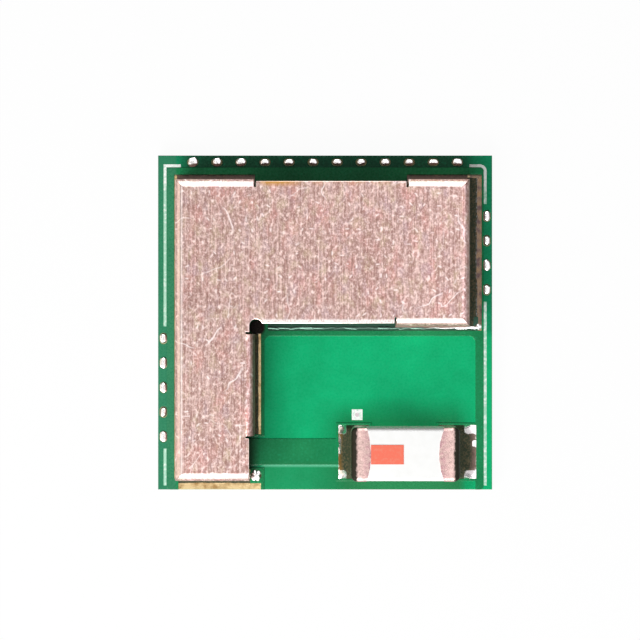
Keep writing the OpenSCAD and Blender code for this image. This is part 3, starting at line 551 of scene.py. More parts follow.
# %% [markdown]
# ## Making a finished piece
# A piece that replaces a solid is built in millimetres, scaled to metres here, tied to the part's one body,
# and the solids that it stands for are hidden. Four more helpers turn a shape that is being built into a
# mesh, run an object's modifiers, keep a number at each point of a mesh, and go round a ring of points.

# %% Helpers for finished pieces
def finish_piece(name, mesh, finish, slot, *nodes):
    mesh.transform(Matrix.Scale(MM, 4))
    mesh.materials.clear()
    mesh.materials.append(finish.material)
    piece = put(name, mesh)
    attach(piece, "root")
    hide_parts(*nodes)
    print(name, "stands for", ", ".join(nodes), "with", len(mesh.polygons), "faces")
    return piece


def mesh_from(shape, name, smooth_below=30.0, flat_over=math.inf):
    """A mesh with soft shading across edges below an angle, and flat faces over an area."""
    mesh = bpy.data.meshes.new(name)
    for edge in shape.edges:
        edge.smooth = edge.calc_face_angle(math.pi) < math.radians(smooth_below)
    for face in shape.faces:
        face.smooth = face.calc_area() < flat_over
    shape.to_mesh(mesh)
    shape.free()
    return mesh


def plain_mesh(carrier, name):
    """What an object's modifiers make of it, as a plain mesh; the object itself is removed."""
    mesh = bpy.data.meshes.new_from_object(carrier.evaluated_get(bpy.context.evaluated_depsgraph_get()))
    carrier.modifiers.clear()
    bpy.data.objects.remove(carrier)
    mesh.name = name
    return mesh


def mark(mesh, name, value):
    """Keeps a number at each point of a mesh, worked out from where the point lies."""
    if name in mesh.attributes:
        mesh.attributes.remove(mesh.attributes[name])
    values = mesh.attributes.new(name, "FLOAT", "POINT").data
    for vertex, entry in zip(mesh.vertices, values):
        entry.value = value(vertex.co)
    return mesh


def around(ring):
    """Neighbours in a closed ring, two by two."""
    return zip(ring, ring[1:] + ring[:1])


print("helpers for pieces ready")

# %% [markdown]
# ## The folded shield
# The shield is one sheet: an L-shaped flat top, and walls that are folded down along bend lines. Where two
# walls meet they are cut to a mitre, beside each tab is a narrow slit, and the inner corner of the L has an
# oblong hole so that the sheet doesn't tear when it is folded. A box with a bevel would look nearly right
# from far away, but light runs along the bends, so they are swept here as true quarter circles. The flat
# top is one outline, and each wall is a strip of section points between its two ends. The walls come first,
# because the outline runs along their bend lines.

# %% Sizes of the shield
SHEET = 0.15
BEND = 0.10
SEAM = 0.01
SLIT = 0.06
SETBACK = 0.07
LEG_RIGHT = -2.09
ARM_FRONT = -0.10
BACK_TAB_LEFT = 2.33
BACK_TAB_RIGHT = 1.82
ARM_TAB = 2.17
LEG_TAB = (-0.34, -3.345)
FEED_EDGE = -2.24
HOLE_SIZE = (0.38, 0.50)

can_low, can_high = box_mm("shield_can")
BEND_OUT = BEND + SHEET
GAP = SEAM / math.sqrt(2)
flat_left, flat_right = can_low.x + BEND_OUT, can_high.x - BEND_OUT
flat_front, flat_back = can_low.y + BEND_OUT, can_high.y - BEND_OUT
leg_flat, arm_flat = LEG_RIGHT - BEND_OUT, ARM_FRONT + BEND_OUT
print("shield", [round(v, 3) for v in can_high - can_low], "mm")

# %% Walls of the shield
# Start, heading in degrees, length, and whether each end is mitred; the outside is on the left.
WALLS = {
    "left": ((can_low.x, can_low.y), 90, can_high.y - can_low.y, 1, 1),
    "back_left": ((can_low.x, can_high.y), 0, BACK_TAB_LEFT, 1, 0),
    "back_right": ((can_high.x - BACK_TAB_RIGHT, can_high.y), 0, BACK_TAB_RIGHT, 0, 1),
    "right": ((can_high.x, can_high.y), -90, can_high.y - ARM_FRONT, 1, 1),
    "arm": ((can_high.x, ARM_FRONT), 180, ARM_TAB, 1, 0),
    "leg": ((LEG_RIGHT, LEG_TAB[0]), -90, LEG_TAB[0] - LEG_TAB[1], 0, 0),
    "front": ((FEED_EDGE, can_low.y), 180, FEED_EDGE - can_low.x, 0, 1),
}
BEND_STEPS = 14


def wall_point(wall, along, inward, z):
    """A point so far along a wall, and so far in from its outside."""
    (x, y), heading = wall[:2]
    turn = math.radians(heading)
    return Vector((x + along * math.cos(turn) + inward * math.sin(turn),
                   y + along * math.sin(turn) - inward * math.cos(turn), z))


def wall_ends(wall, inward, z):
    """Both ends of a wall at one point of its section; a mitred end is drawn in."""
    length, start_mitre, end_mitre = wall[2:]
    return [wall_point(wall, along, inward, z)
            for along in (start_mitre * (GAP + inward), length - end_mitre * (GAP + inward))]


def wall_sections():
    """Outer and inner line of a wall's section: a quarter circle, and a straight stretch to the foot."""
    turns = [math.pi / 2 * i / BEND_STEPS for i in range(BEND_STEPS + 1)]
    bend_z = can_high.z - BEND_OUT
    outer = [(BEND_OUT * (1 - math.sin(t)), bend_z + BEND_OUT * math.cos(t)) for t in turns]
    inner = [(BEND_OUT - BEND * math.sin(t), bend_z + BEND * math.cos(t)) for t in turns]
    return outer + [(0.0, can_low.z)], inner + [(SHEET, can_low.z)]


def fold_wall(shape, wall):
    outer, inner = [[[shape.verts.new(end) for end in wall_ends(wall, *point)] for point in section]
                    for section in wall_sections()]
    for (out, out_next), (into, into_next) in zip(zip(outer, outer[1:]), zip(inner, inner[1:])):
        shape.faces.new((out[0], out[1], out_next[1], out_next[0]))
        shape.faces.new((into[1], into[0], into_next[0], into_next[1]))
        shape.faces.new((out[0], out_next[0], into_next[0], into[0]))
        shape.faces.new((out[1], into[1], into_next[1], out_next[1]))
    shape.faces.new((*outer[-1], *inner[-1][::-1]))


print("walls:", ", ".join(WALLS))

# %% Outline of the flat top
RIM_STEP = 0.16


def hole_rim():
    """The hole's rim from the leg's slit round to the arm's open edge, in steps of about nine degrees."""
    half, straight = HOLE_SIZE[0] / 2, (HOLE_SIZE[1] - HOLE_SIZE[0]) / 2
    low_start = math.pi + math.asin((LEG_TAB[0] + SLIT - HOLE[1] + straight) / -half)
    top_end = math.asin((ARM_FRONT + SETBACK - HOLE[1] - straight) / half)
    rim = []
    for centre, start, end in ((-straight, low_start, math.pi), (straight, math.pi, top_end)):
        steps = max(2, round(abs(end - start) / RIM_STEP))
        for i in range(steps + 1):
            turn = start + (end - start) * i / steps
            rim.append((HOLE[0] + half * math.cos(turn), HOLE[1] + centre + half * math.sin(turn)))
    return rim


def bend_line(wall):
    """Where a wall leaves the flat top."""
    return [tuple(end.xy) for end in wall_ends(WALLS[wall], BEND_OUT, 0.0)[::-1]]


open_start = can_low.x + BACK_TAB_LEFT + SLIT
open_end = can_high.x - BACK_TAB_RIGHT - SLIT
arm_open_end = can_high.x - ARM_TAB - SLIT
outline = [
    (flat_left, flat_front), *bend_line("front"),
    (FEED_EDGE, LEG_TAB[1] - SLIT), (leg_flat, LEG_TAB[1] - SLIT), *bend_line("leg"),
    (leg_flat, LEG_TAB[0] + SLIT), *hole_rim(), (arm_open_end, ARM_FRONT + SETBACK),
    (arm_open_end, arm_flat), *bend_line("arm"),
    (flat_right, arm_flat), *bend_line("right"),
    (flat_right, flat_back), *bend_line("back_right"),
    (open_end, flat_back), (open_end, can_high.y - SETBACK),
    (open_start, can_high.y - SETBACK), (open_start, flat_back), *bend_line("back_left"),
    (flat_left, flat_back), *bend_line("left"),
]
print("outline of the flat top:", len(outline), "points")

# %% [markdown]
# The number `fold` is worked out from how far a point lies below the top. The right wall, the leg's wall and
# the open edge of the arm get negative numbers, which paint them darker as painted shade. Cut edges are
# rounded a little, as a punch leaves them, but not at the mitres, where two rounded edges would open the
# seam.

# %% Share of the fold
EDGE_ROUND = 0.02
HAIR, SLACK = 0.001, 0.01
EDGE_CLEAR = 0.05
# Fold given to the bevel under the arm's open edge, for its painted shade.
EDGE_SHADE = -0.62


def fold_share(point):
    """Share of the fold: 0 on the flat top, 1 where a wall begins, negative where the wall gets painted
    shade.
    """
    depth = min(max(can_high.z - point.z, 0.0), BEND_OUT)
    share = math.acos(1 - depth / BEND_OUT) / (math.pi / 2)
    on_edge = HOLE[0] < point.x < arm_open_end - EDGE_CLEAR and point.y < ARM_FRONT + SETBACK + EDGE_ROUND
    if on_edge and depth > HAIR:
        return EDGE_SHADE
    on_right = can_high.x - point.x < min(BEND_OUT - HAIR, can_high.y - point.y, point.y - ARM_FRONT)
    on_leg = (leg_flat - SLACK < point.x < LEG_RIGHT + SLACK
              and LEG_TAB[1] - SLACK < point.y < LEG_TAB[0] + SLACK)
    return -share if on_leg or on_right else share


print("share on the left wall", fold_share(Vector((can_low.x, 0.0, can_low.z))),
      "and on the right wall", fold_share(Vector((can_high.x, 2.0, can_low.z))))

# %% Fold the shield
MITRE_CORNERS = [(can_low.x, can_low.y), (can_low.x, can_high.y), (can_high.x, can_high.y),
                 (can_high.x, ARM_FRONT)]
MITRE_CLEAR = 0.45
SHARP = math.radians(35)
WELD, DIGITS = 1e-4, 4
FLAT_TOP_AREA = 5.0


def line_between(points):
    """A name for the line between two points that doesn't depend on its direction."""
    return frozenset((round(x, DIGITS), round(y, DIGITS)) for x, y in points)


def folded_shield():
    shape = bmesh.new()
    for wall in WALLS.values():
        fold_wall(shape, wall)
    bend_lines = {line_between(bend_line(wall)) for wall in WALLS}
    top = [shape.verts.new((x, y, can_high.z)) for x, y in outline]
    under = [shape.verts.new((x, y, can_high.z - SHEET)) for x, y in outline]
    shape.faces.new(top)
    shape.faces.new(under[::-1])
    for (here, high, low), (there, next_high, next_low) in around(list(zip(outline, top, under))):
        if line_between((here, there)) not in bend_lines:
            shape.faces.new((high, low, next_low, next_high))
    bmesh.ops.remove_doubles(shape, verts=shape.verts, dist=WELD)
    bmesh.ops.recalc_face_normals(shape, faces=shape.faces)
    edges = [e for e in shape.edges if len(e.link_faces) == 2 and e.calc_face_angle() > SHARP
             and all(math.dist(v.co.xy, c) >= MITRE_CLEAR for v in e.verts for c in MITRE_CORNERS)]
    bmesh.ops.bevel(shape, geom=edges, offset=EDGE_ROUND, segments=2, profile=0.5, affect="EDGES")
    print("open edges left in the shield:", sum(len(e.link_faces) != 2 for e in shape.edges))
    return mark(mesh_from(shape, "folded_shield", flat_over=FLAT_TOP_AREA), "fold", fold_share)


finish_piece("folded_shield", folded_shield(), nickel_silver, "nickel_silver", "shield_can")

# %% [markdown]
# ## Solder bumps on the contacts
# Each contact is a plated hole that is full of solder, which stands over its land as a small oblong bump. No
# two bumps are alike, because the solder froze as it liked. Geometry Nodes suit this: one bump is shaped
# from a ball, copied along a line of points with a random size and turn, and then pushed about by noise.
# The tree's inputs are the real sizes, and the seed is fixed, so the rows come out the same every time.
# In the long row the first bumps took the most solder, so an input makes them wider, less and less along the
# row. One side of each bump is painted darker, a painted shade, which is kept as its `corner`.

# %% Helper for growing solder
class Grower(Nodes):
    """A Geometry Nodes tree with named inputs, which is run to make a plain mesh."""

    def __init__(self, name, inputs):
        super().__init__(bpy.data.node_groups.new(name, "GeometryNodeTree"))
        new_socket = self.tree.interface.new_socket
        new_socket("Geometry", in_out="INPUT", socket_type="NodeSocketGeometry")
        self.identifiers = {}
        for label, (kind, value) in inputs.items():
            socket = new_socket(label, in_out="INPUT", socket_type="NodeSocket" + kind)
            if value is not None:
                socket.default_value = value
            self.identifiers[label] = socket.identifier
        new_socket("Geometry", in_out="OUTPUT", socket_type="NodeSocketGeometry")
        self.given = self.tree.nodes.new("NodeGroupInput").outputs
        self.result = self.tree.nodes.new("NodeGroupOutput").inputs[0]

    def keep(self, geometry, name, value):
        """Keeps a number at each point, for a finish to read."""
        return self.add("GeometryNodeStoreNamedAttribute",
                        {"Geometry": geometry, "Name": name, "Value": value},
                        data_type="FLOAT", domain="POINT")[0]

    def move(self, geometry, **sockets):
        return self.add("GeometryNodeSetPosition", {"Geometry": geometry, **sockets})[0]

    def end(self, geometry):
        """Shades what was made softly, coats it, and hands it out."""
        soft = self.add("GeometryNodeSetShadeSmooth", {"Geometry": geometry})[0]
        coated = self.add("GeometryNodeSetMaterial", {"Geometry": soft, "Material": self.given["Finish"]})[0]
        self.tree.links.new(coated, self.result)
        print(self.tree.name, "has", len(self.tree.nodes), "nodes")

    def grow(self, name, data, values):
        """Runs the tree once and returns what it made."""
        carrier = put(name, data)
        modifier = carrier.modifiers.new("grow", "NODES")
        modifier.node_group = self.tree
        for label, value in values.items():
            modifier[self.identifiers[label]] = value
        return plain_mesh(carrier, name)


print("helper for growing solder ready")

# %% Tree for a row of solder bumps
BALL = {"Segments": 28, "Rings": 18, "Radius": 0.5}
DARK_SIDE, DARK_MIDDLE = -1.9, 0.12
SMALLEST, LARGEST = (0.84, 0.86, 0.72), (1.14, 1.14, 1.0)
TWIST = 0.14
LESS_EACH = -0.33
PUSH, PUSH_SCALE = 0.045, 9.0

bumps = Grower("row_of_solder_bumps", {
    "Count": ("Int", 4), "Start": ("Vector", (0, 0, 0)), "Step": ("Vector", (1, 0, 0)),
    "Turn": ("Float", 0.0), "Length": ("Float", 0.3), "Width": ("Float", 0.19), "Height": ("Float", 0.06),
    "Shade": ("Float", 1.0), "Rosy": ("Float", 0.65), "First": ("Float", 0.0), "Seed": ("Int", 1),
    "Finish": ("Material", None)})
given = bumps.given
ball = bumps.add("GeometryNodeMeshUVSphere", BALL)[0]
spot = bumps.add("GeometryNodeInputPosition")[0]
x, y, z = bumps.add("ShaderNodeSeparateXYZ", {0: spot})
spare = bumps.math("SUBTRACT", given["Length"], given["Width"])
drawn_out = bumps.chain("MULTIPLY", [bumps.math("SIGN", x), spare, 0.5])
long_x = bumps.math("MULTIPLY_ADD", x, given["Width"], drawn_out)
wide_y = bumps.math("MULTIPLY", y, given["Width"])
dome_z = bumps.chain("MULTIPLY", [bumps.math("MAXIMUM", z, 0.0), given["Height"], 1 / BALL["Radius"]])
# `corner` here is painted shade on one side of each bump.
shade = bumps.math("MULTIPLY", bumps.math("MULTIPLY_ADD", y, DARK_SIDE, DARK_MIDDLE), given["Shade"])
shaded = bumps.keep(bumps.keep(ball, "corner", shade), "rosy", given["Rosy"])
bump = bumps.move(shaded, Position=bumps.point(long_x, wide_y, dome_z))

line = bumps.add("GeometryNodeMeshLine", {"Count": given["Count"], "Start Location": given["Start"],
                                          "Offset": given["Step"]}, mode="OFFSET")[0]
size = bumps.add("FunctionNodeRandomValue", {0: SMALLEST, 1: LARGEST, "Seed": given["Seed"]},
                 data_type="FLOAT_VECTOR")[0]
place_in_row = bumps.add("GeometryNodeInputIndex")[0]
early = bumps.math("MAXIMUM", bumps.math("MULTIPLY_ADD", place_in_row, LESS_EACH, 1.0), 0.0)
wider = bumps.math("MULTIPLY_ADD", early, given["First"], 1.0)
size = bumps.vector("MULTIPLY", size, bumps.point(1.0, wider, 1.0))[0]
twist = bumps.add("FunctionNodeRandomValue", {2: -TWIST, 3: TWIST, "Seed": given["Seed"]})[1]
turn = bumps.point(z=bumps.math("ADD", given["Turn"], twist))
copies = bumps.add("GeometryNodeInstanceOnPoints",
                   {"Points": line, "Instance": bump, "Rotation": turn, "Scale": size})[0]
copies = bumps.add("GeometryNodeRealizeInstances", {"Geometry": copies})[0]
sway = bumps.noise(spot, PUSH_SCALE, 1.0)["Color"]
push = bumps.vector("MULTIPLY", bumps.vector("SUBTRACT", sway, (0.5, 0.5, 0.5))[0], (PUSH, PUSH, 0.0))[0]
bumps.end(bumps.move(copies, Offset=push))

# %% Rows of solder bumps
BUMP_LENGTH, BUMP_WIDTH = 0.30, 0.19
FIRST_SEED = 3
# Count, turn, shade of the dark side, length, and how much wider the first bump is.
ROWS = {
    "back": (12, 0.0, 1.0, 0.27, 0.6),
    "left": (5, math.pi / 2, 0.6, 0.30, 0.0),
    "right": (4, -math.pi / 2, 0.6, 0.30, 0.0),
}


def bump_row(name, values):
    return bumps.grow(name, bpy.data.meshes.new("row"), {"Finish": solder.material, **values})


for seed, (row, (count, turn, shade, length, first_grows)) in enumerate(ROWS.items(), FIRST_SEED):
    low, high = box_mm("via_solder_" + row)
    half = Vector((BUMP_LENGTH, BUMP_WIDTH) if row == "back" else (BUMP_WIDTH, BUMP_LENGTH)) / 2
    first = Vector((low.x + half.x, low.y + half.y, copper_top))
    last = Vector((high.x - half.x, high.y - half.y, copper_top))
    mesh = bump_row("solder_bumps_" + row, {
        "Count": count, "Start": first, "Step": (last - first) / (count - 1), "Turn": turn, "Length": length,
        "Width": BUMP_WIDTH, "Height": high.z - copper_top, "Shade": shade, "First": first_grows,
        "Seed": seed})
    finish_piece("solder_bumps_" + row, mesh, solder, "solder", "via_solder_" + row)

# %% [markdown]
# ## Solder round the shield
# The shield's walls stand in solder, which climbs them in a hollow curve and thins out over the land. The
# curve follows the foot of the walls, so Geometry Nodes sweep a hollow profile along paths drawn there. The
# radius of each path point says how far the solder reaches, and noise makes that uneven, as real solder
# is. Runs differ in how dark they are, with burnt flux and painted shade against the wall, and in how rosy,
# so each is grown by itself and all are joined.

# %% Tree for a hollow run of solder
PROFILE_POINTS = 12
WAVE_SCALE, WAVE_DETAIL, WAVE_HIGH = 3.2, 3.0, 0.62

runs = Grower("hollow_run_of_solder", {
    "Spacing": ("Float", 0.03), "Unevenness": ("Float", 0.4), "Flux and shade": ("Float", 0.0),
    "Rosy": ("Float", 0.0), "Finish": ("Material", None)})
given = runs.given
section = runs.add("GeometryNodeCurvePrimitiveLine")[0]
section = runs.add("GeometryNodeResampleCurve", {"Curve": section, "Count": PROFILE_POINTS + 1})[0]
number = runs.add("GeometryNodeInputIndex")[0]
turn = runs.math("MULTIPLY", number, math.pi / 2 / (PROFILE_POINTS - 1))
on_curve = runs.math("LESS_THAN", number, PROFILE_POINTS - 0.5)
out, up = [runs.math("MULTIPLY", runs.math("SUBTRACT", runs.math(rule, turn), 1.0), on_curve)
           for rule in ("COSINE", "SINE")]
section = runs.move(section, Position=runs.point(out, up))
section = runs.add("GeometryNodeSetSplineCyclic", {"Geometry": section, "Cyclic": True})[0]
# `corner` grows towards the wall: burnt flux there, and painted shade where the wall keeps light off.
depth = runs.math("ADD", out, 1.0)
section = runs.keep(section, "corner", runs.math("ADD", depth, given["Flux and shade"]))
section = runs.keep(section, "rosy", runs.math("MULTIPLY", depth, given["Rosy"]))

path = runs.add("GeometryNodeResampleCurve", {"Curve": given["Geometry"], "Length": given["Spacing"]},
                mode="LENGTH")[0]
path = runs.add("GeometryNodeSetCurveNormal", {"Curve": path}, mode="Z_UP")[0]
spot = runs.add("GeometryNodeInputPosition")[0]
wave = runs.noise(spot, WAVE_SCALE, WAVE_DETAIL)["Fac"]
lack = runs.math("MULTIPLY", runs.math("SUBTRACT", wave, WAVE_HIGH), given["Unevenness"])
width = runs.math("MULTIPLY", runs.add("GeometryNodeInputRadius")[0], runs.math("ADD", lack, 1.0))
run = runs.add("GeometryNodeCurveToMesh",
               {"Curve": path, "Profile Curve": section, "Scale": width, "Fill Caps": True})[0]
runs.end(runs.add("GeometryNodeRealizeInstances", {"Geometry": run})[0])

# %% Runs along the walls
# Reach over the land, how dark with burnt flux and painted shade, how rosy, and what the run is longer
# by at the wall's start and end.
RUNS = {
    "left": (0.06, 0.0, 0.0, 0.0, 0.0),
    "right": (0.29, 0.45, 0.0, 0.10, 0.0),
    "back_left": (0.215, 0.6, 1.0, 0.0, 0.0),
    "back_right": (0.215, 0.6, 1.0, 0.0, 0.0),
    "arm": (0.12, 0.6, 1.0, 0.0, 0.0),
    "leg": (0.10, 0.6, 0.0, 0.0, 0.0),
    "front": (0.14, 0.6, 0.0, 0.0, -0.04),
}


def joined(*meshes):
    shape = bmesh.new()
    for mesh in meshes:
        shape.from_mesh(mesh)
    mesh = bpy.data.meshes.new("joined")
    shape.to_mesh(mesh)
    shape.free()
    return mesh


def foot_path(wall, reach, longer_start, longer_end):
    """A straight path at the foot of a wall; its radius is how far the solder reaches."""
    data = bpy.data.curves.new("foot_path", "CURVE")
    data.dimensions = "3D"
    spline = data.splines.new("POLY")
    spline.points.add(1)
    for point, along in zip(spline.points, (-longer_start, wall[2] + longer_end)):
        point.co = (*wall_point(wall, along, 0.0, copper_top), 1.0)
        point.radius = reach
    return data


fillets = joined(*[runs.grow("solder_fillets", foot_path(WALLS[wall], reach, *longer),
                             {"Flux and shade": flux_and_shade, "Rosy": rosy, "Finish": solder.material})
                   for wall, (reach, flux_and_shade, rosy, *longer) in RUNS.items()])
for axis in range(3):
    places = [vertex.co[axis] for vertex in fillets.vertices]
    print("solder runs along", "xyz"[axis], "from", round(min(places), 3), "to", round(max(places), 3))

# %% [markdown]
# Under the arm's open edge there is no wall to climb, so the solder froze there as a thin film on the land
# with a bead in front. The bead is a row of overlapping bumps from the tree above, and the film is a thin
# box. Loose drops lie at the ends of the lands: a round one at the arm, and one at the leg's foot that spread
# four ways, for which two oblong bumps cross.

# %% Bead, film and drops
BEAD_START, BEAD_END = LEG_RIGHT + HOLE_SIZE[0], can_high.x + 0.31
BEAD_Y = ARM_FRONT - 0.05
BEAD_COUNT, BEAD_OVERLAP, BEAD_WIDTH, BEAD_HEIGHT = 19, 1.4, 0.105, 0.03
BEAD_SHADE, BEAD_SEED = 0.7, 8
MINT_FADE, MINT_END = 0.9, 3.9
FILM = 0.018
LAND_FRONT, LAND_BACK = -0.24, 0.17
DROP_HEIGHT, DROP_SEED = 0.10, 2
ARM_DROP, ARM_DROP_SHADE = 0.22, 0.3
ARM_DROP_RIGHT, ARM_DROP_FRONT = can_high.x + 0.42, ARM_FRONT - 0.14
LEG_DROP, LEG_DROP_ARM, LEG_DROP_SHADE = 0.36, 0.22, 0.1
LEG_DROP_TURNS = (0.95, 2.19)

bead_step = (BEAD_END - BEAD_START) / BEAD_COUNT
bead = bump_row("solder_bead", {
    "Count": BEAD_COUNT, "Start": (BEAD_START + bead_step / 2, BEAD_Y, copper_top), "Step": (bead_step, 0, 0),
    "Turn": math.pi, "Length": BEAD_OVERLAP * bead_step, "Width": BEAD_WIDTH, "Height": BEAD_HEIGHT,
    "Shade": BEAD_SHADE, "Seed": BEAD_SEED})
# Mint on the bead's left part is a painted reflection of the green lacquer.
mark(bead, "rosy", lambda p: min(max((p.x - MINT_END) / MINT_FADE, -1.0), 0.0))

film_low = Vector((BEAD_START, LAND_FRONT, copper_top))
film_high = Vector((BEAD_END, LAND_BACK, copper_top + FILM))
film_shape = bmesh.new()
film_place = Matrix.LocRotScale((film_low + film_high) / 2, None, film_high - film_low)
bmesh.ops.create_cube(film_shape, size=1.0, matrix=film_place)
# The film is painted dark mint all over: painted shade under the arm's open edge.
film = mark(mesh_from(film_shape, "tinned_land"), "corner", lambda p: 1.0)
mark(film, "rosy", lambda p: -1.0)

arm_drop = (ARM_DROP_RIGHT - ARM_DROP / 2, ARM_DROP_FRONT + ARM_DROP / 2)
drop_shapes = [(LEG_DROP_MIDDLE, LEG_DROP, LEG_DROP_ARM, turn, LEG_DROP_SHADE) for turn in LEG_DROP_TURNS]
drop_shapes.append((arm_drop, ARM_DROP, ARM_DROP, 0.0, ARM_DROP_SHADE))
drops = [bump_row("solder_drop", {
    "Count": 1, "Start": (*place, copper_top), "Turn": turn, "Length": length, "Width": width,
    "Height": DROP_HEIGHT, "Shade": shade, "Seed": DROP_SEED})
    for place, length, width, turn, shade in drop_shapes]
finish_piece("shield_fillets", joined(fillets, bead, film, *drops), solder, "solder", "shield_solder")

# %% [markdown]
# ## The chip antenna
# The antenna is a block of white ceramic whose edges are worn round. Both ends were dipped in silver paste,
# which dried as a thin cap with a bulging border. A bevelled box could stand for the block, but its ends are
# rounder than its long edges, so block and caps are both stacks of rings. Each ring is the block's rounded
# cross-section, drawn in towards the end face.

# %% Rings of the antenna
CAP_ROUND, CAP_EDGE, LEAST_ROUND = 0.18, 0.12, 0.03
ROUND_STEPS, SIDE_STEPS = 6, 14
CORNERS = [(1, 1), (-1, 1), (-1, -1), (1, -1)]  # sides, along y and z, in order round the long axis

feed_low, feed_high = box_mm("antenna_feed_terminal")
end_low, end_high = box_mm("antenna_end_terminal")
chip_low, chip_high = Vector(map(min, feed_low, end_low)), Vector(map(max, feed_high, end_high))
chip_mid, chip_size = (chip_low + chip_high) / 2, chip_high - chip_low


def section_ring(inset):
    """The rounded cross-section, drawn in by an inset, as points round the long axis."""
    r = max(CAP_EDGE - inset, LEAST_ROUND)
    wide, high = chip_size.y / 2 - inset - r, chip_size.z / 2 - inset - r
    arcs = []
    for quarter, (side_y, side_z) in enumerate(CORNERS):
        turns = [math.pi / 2 * (quarter + i / ROUND_STEPS) for i in range(ROUND_STEPS + 1)]
        arcs.append([(side_y * wide + r * math.cos(t), side_z * high + r * math.sin(t)) for t in turns])
    ring = []
    for arc, next_arc in around(arcs):
        (y, z), (next_y, next_z) = arc[-1], next_arc[0]
        shares = [i / SIDE_STEPS for i in range(1, SIDE_STEPS)]
        ring += arc + [(y + (next_y - y) * share, z + (next_z - z) * share) for share in shares]
    return ring


def rounded_end(end, face_x, skin):
    """Rings from an end face to where the rounding ends; a skin lies between them and the cap's outside."""
    rings = []
    for i in range(ROUND_STEPS + 1):
        turn = math.pi / 2 * (1 - i / ROUND_STEPS)
        x = skin + (CAP_ROUND - skin) * (1 - math.sin(turn))
        inset = skin + (CAP_ROUND - skin) * (1 - math.cos(turn))
        rings.append([(face_x - end * x, chip_mid.y + y, chip_mid.z + z) for y, z in section_ring(inset)])
    return rings


def skin_rings(shape, rings):
    """Makes the points of the rings and the faces between them, and returns the rings of points."""
    rings = [[shape.verts.new(point) for point in ring] for ring in rings]
    for first, second in zip(rings, rings[1:]):
        for (a, b), (c, d) in zip(around(first), around(second)):
            shape.faces.new((a, b, d, c))
    return rings


print("antenna", [round(v, 3) for v in chip_size], "mm,", len(section_ring(0.0)), "points in a ring")

# %% Ceramic block
PASTE = 0.02
SOFT_BELOW = 50.0
BLOCK_END_AREA, CAP_END_AREA = 0.2, 0.5


def ceramic_block():
    shape = bmesh.new()
    rings = skin_rings(shape, rounded_end(-1, chip_low.x, PASTE) + rounded_end(1, chip_high.x, PASTE)[::-1])
    shape.faces.new(rings[0])
    shape.faces.new(rings[-1][::-1])
    bmesh.ops.recalc_face_normals(shape, faces=shape.faces)
    return mesh_from(shape, "ceramic_block", smooth_below=SOFT_BELOW, flat_over=BLOCK_END_AREA)


finish_piece("ceramic_block", ceramic_block(), white_ceramic, "white_ceramic", "antenna_ceramic")

# %% [markdown]
# A cap's last rings follow the border of the paste. It is an arc across the block, because the paste ran
# further in the middle, and noise makes it ragged. A Solidify modifier gives the skin its thickness. The cap
# keeps two numbers: `corner`, which is full at the end face, and `border`, which is full at the border.

# %% Silver end caps
# Direction along x, length from the end face, and bulge of the border.
CAPS = {"feed": (-1, 0.585, 0.13), "end": (1, 0.635, 0.17)}
CAP_DARK_REACH = 0.26
BORDER_STEPS = 8
RAGGED, RAGGED_SCALE, RAGGED_SEED = 0.05, 5, 7


def end_cap(name, end, length, bulge):
    face_x = chip_high.x if end > 0 else chip_low.x
    border_r = (chip_size.y ** 2 / 4 + bulge ** 2) / (2 * bulge)
    rings = rounded_end(end, face_x, 0.0)
    for k in range(1, BORDER_STEPS + 1):
        ring = []
        for y, z in section_ring(0.0):
            border = length - border_r + math.sqrt(border_r ** 2 - y * y)
            ragged = noise.noise(Vector((RAGGED_SCALE * y, RAGGED_SCALE * z, RAGGED_SEED * end)))
            border -= RAGGED * abs(ragged)
            x = CAP_ROUND + (border - CAP_ROUND) * k / BORDER_STEPS
            ring.append((face_x - end * x, chip_mid.y + y, chip_mid.z + z))
        rings.append(ring)
    shape = bmesh.new()
    shape.faces.new(skin_rings(shape, rings)[0])
    bmesh.ops.recalc_face_normals(shape, faces=shape.faces)
    shape.faces.ensure_lookup_table()
    if shape.faces[-1].normal.x * end < 0:
        bmesh.ops.reverse_faces(shape, faces=shape.faces)
    cap = put(name, mesh_from(shape, name, smooth_below=SOFT_BELOW, flat_over=CAP_END_AREA))
    wall = cap.modifiers.new("paste", "SOLIDIFY")
    wall.thickness = PASTE
    wall.offset = -1.0
    mesh = plain_mesh(cap, name)
    # `corner` says how near the end face a point lies, for the paste's painted dark reflection.
    mark(mesh, "corner", lambda p: 1 - abs(p.x - face_x) / CAP_DARK_REACH)
    return mark(mesh, "border", lambda p: (abs(p.x - face_x) - CAP_DARK_REACH) / (length - CAP_DARK_REACH))


for label, (end, length, bulge) in CAPS.items():
    finish_piece(label + "_cap", end_cap(label + "_cap", end, length, bulge), paste, "terminal_silver",
                 "antenna_%s_terminal" % label)

# %% [markdown]
# ## Solder at the antenna's ends
# Solder holds each cap to its land. It climbs the middle of the cap's face, and falls off to a thin skin at
# the land's corners. That is a height over a flat patch, so it is a grid whose points are lifted by a rule:
# a hollow circle away from the face, and a rounded fall towards both sides. The middle is dark: burnt flux,
# and painted shade in the hollow.
# Bright solder shows in a blob at each corner of the land and in one shiny spot at its outer edge, and the
# outer rim is rosy.

# %% Tones of the end solder
SHINY_SPOT = {-1: (0.24, 0.26), 1: (0.32, 0.10)}  # place and length across the land
SPOT_FADE, SPOT_OUTER = (1.6, 0.8), (0.72, 0.84)
BLOB_SIDE, BLOB_OUT = (0.55, 0.80), (0.15, 0.55)
BOWL_CURVE, BOWL_BRIGHT, BOWL_RIM = 0.25, 0.52, (0.82, 1.05)
ROSY, ROSY_RIM = 0.7, (0.60, 1.02)


def smooth(value, low, high):
    """Rises from 0 to 1 between low and high, gently at both ends."""
    share = min(max((value - low) / (high - low), 0.0), 1.0)
    return share * share * (3 - 2 * share)


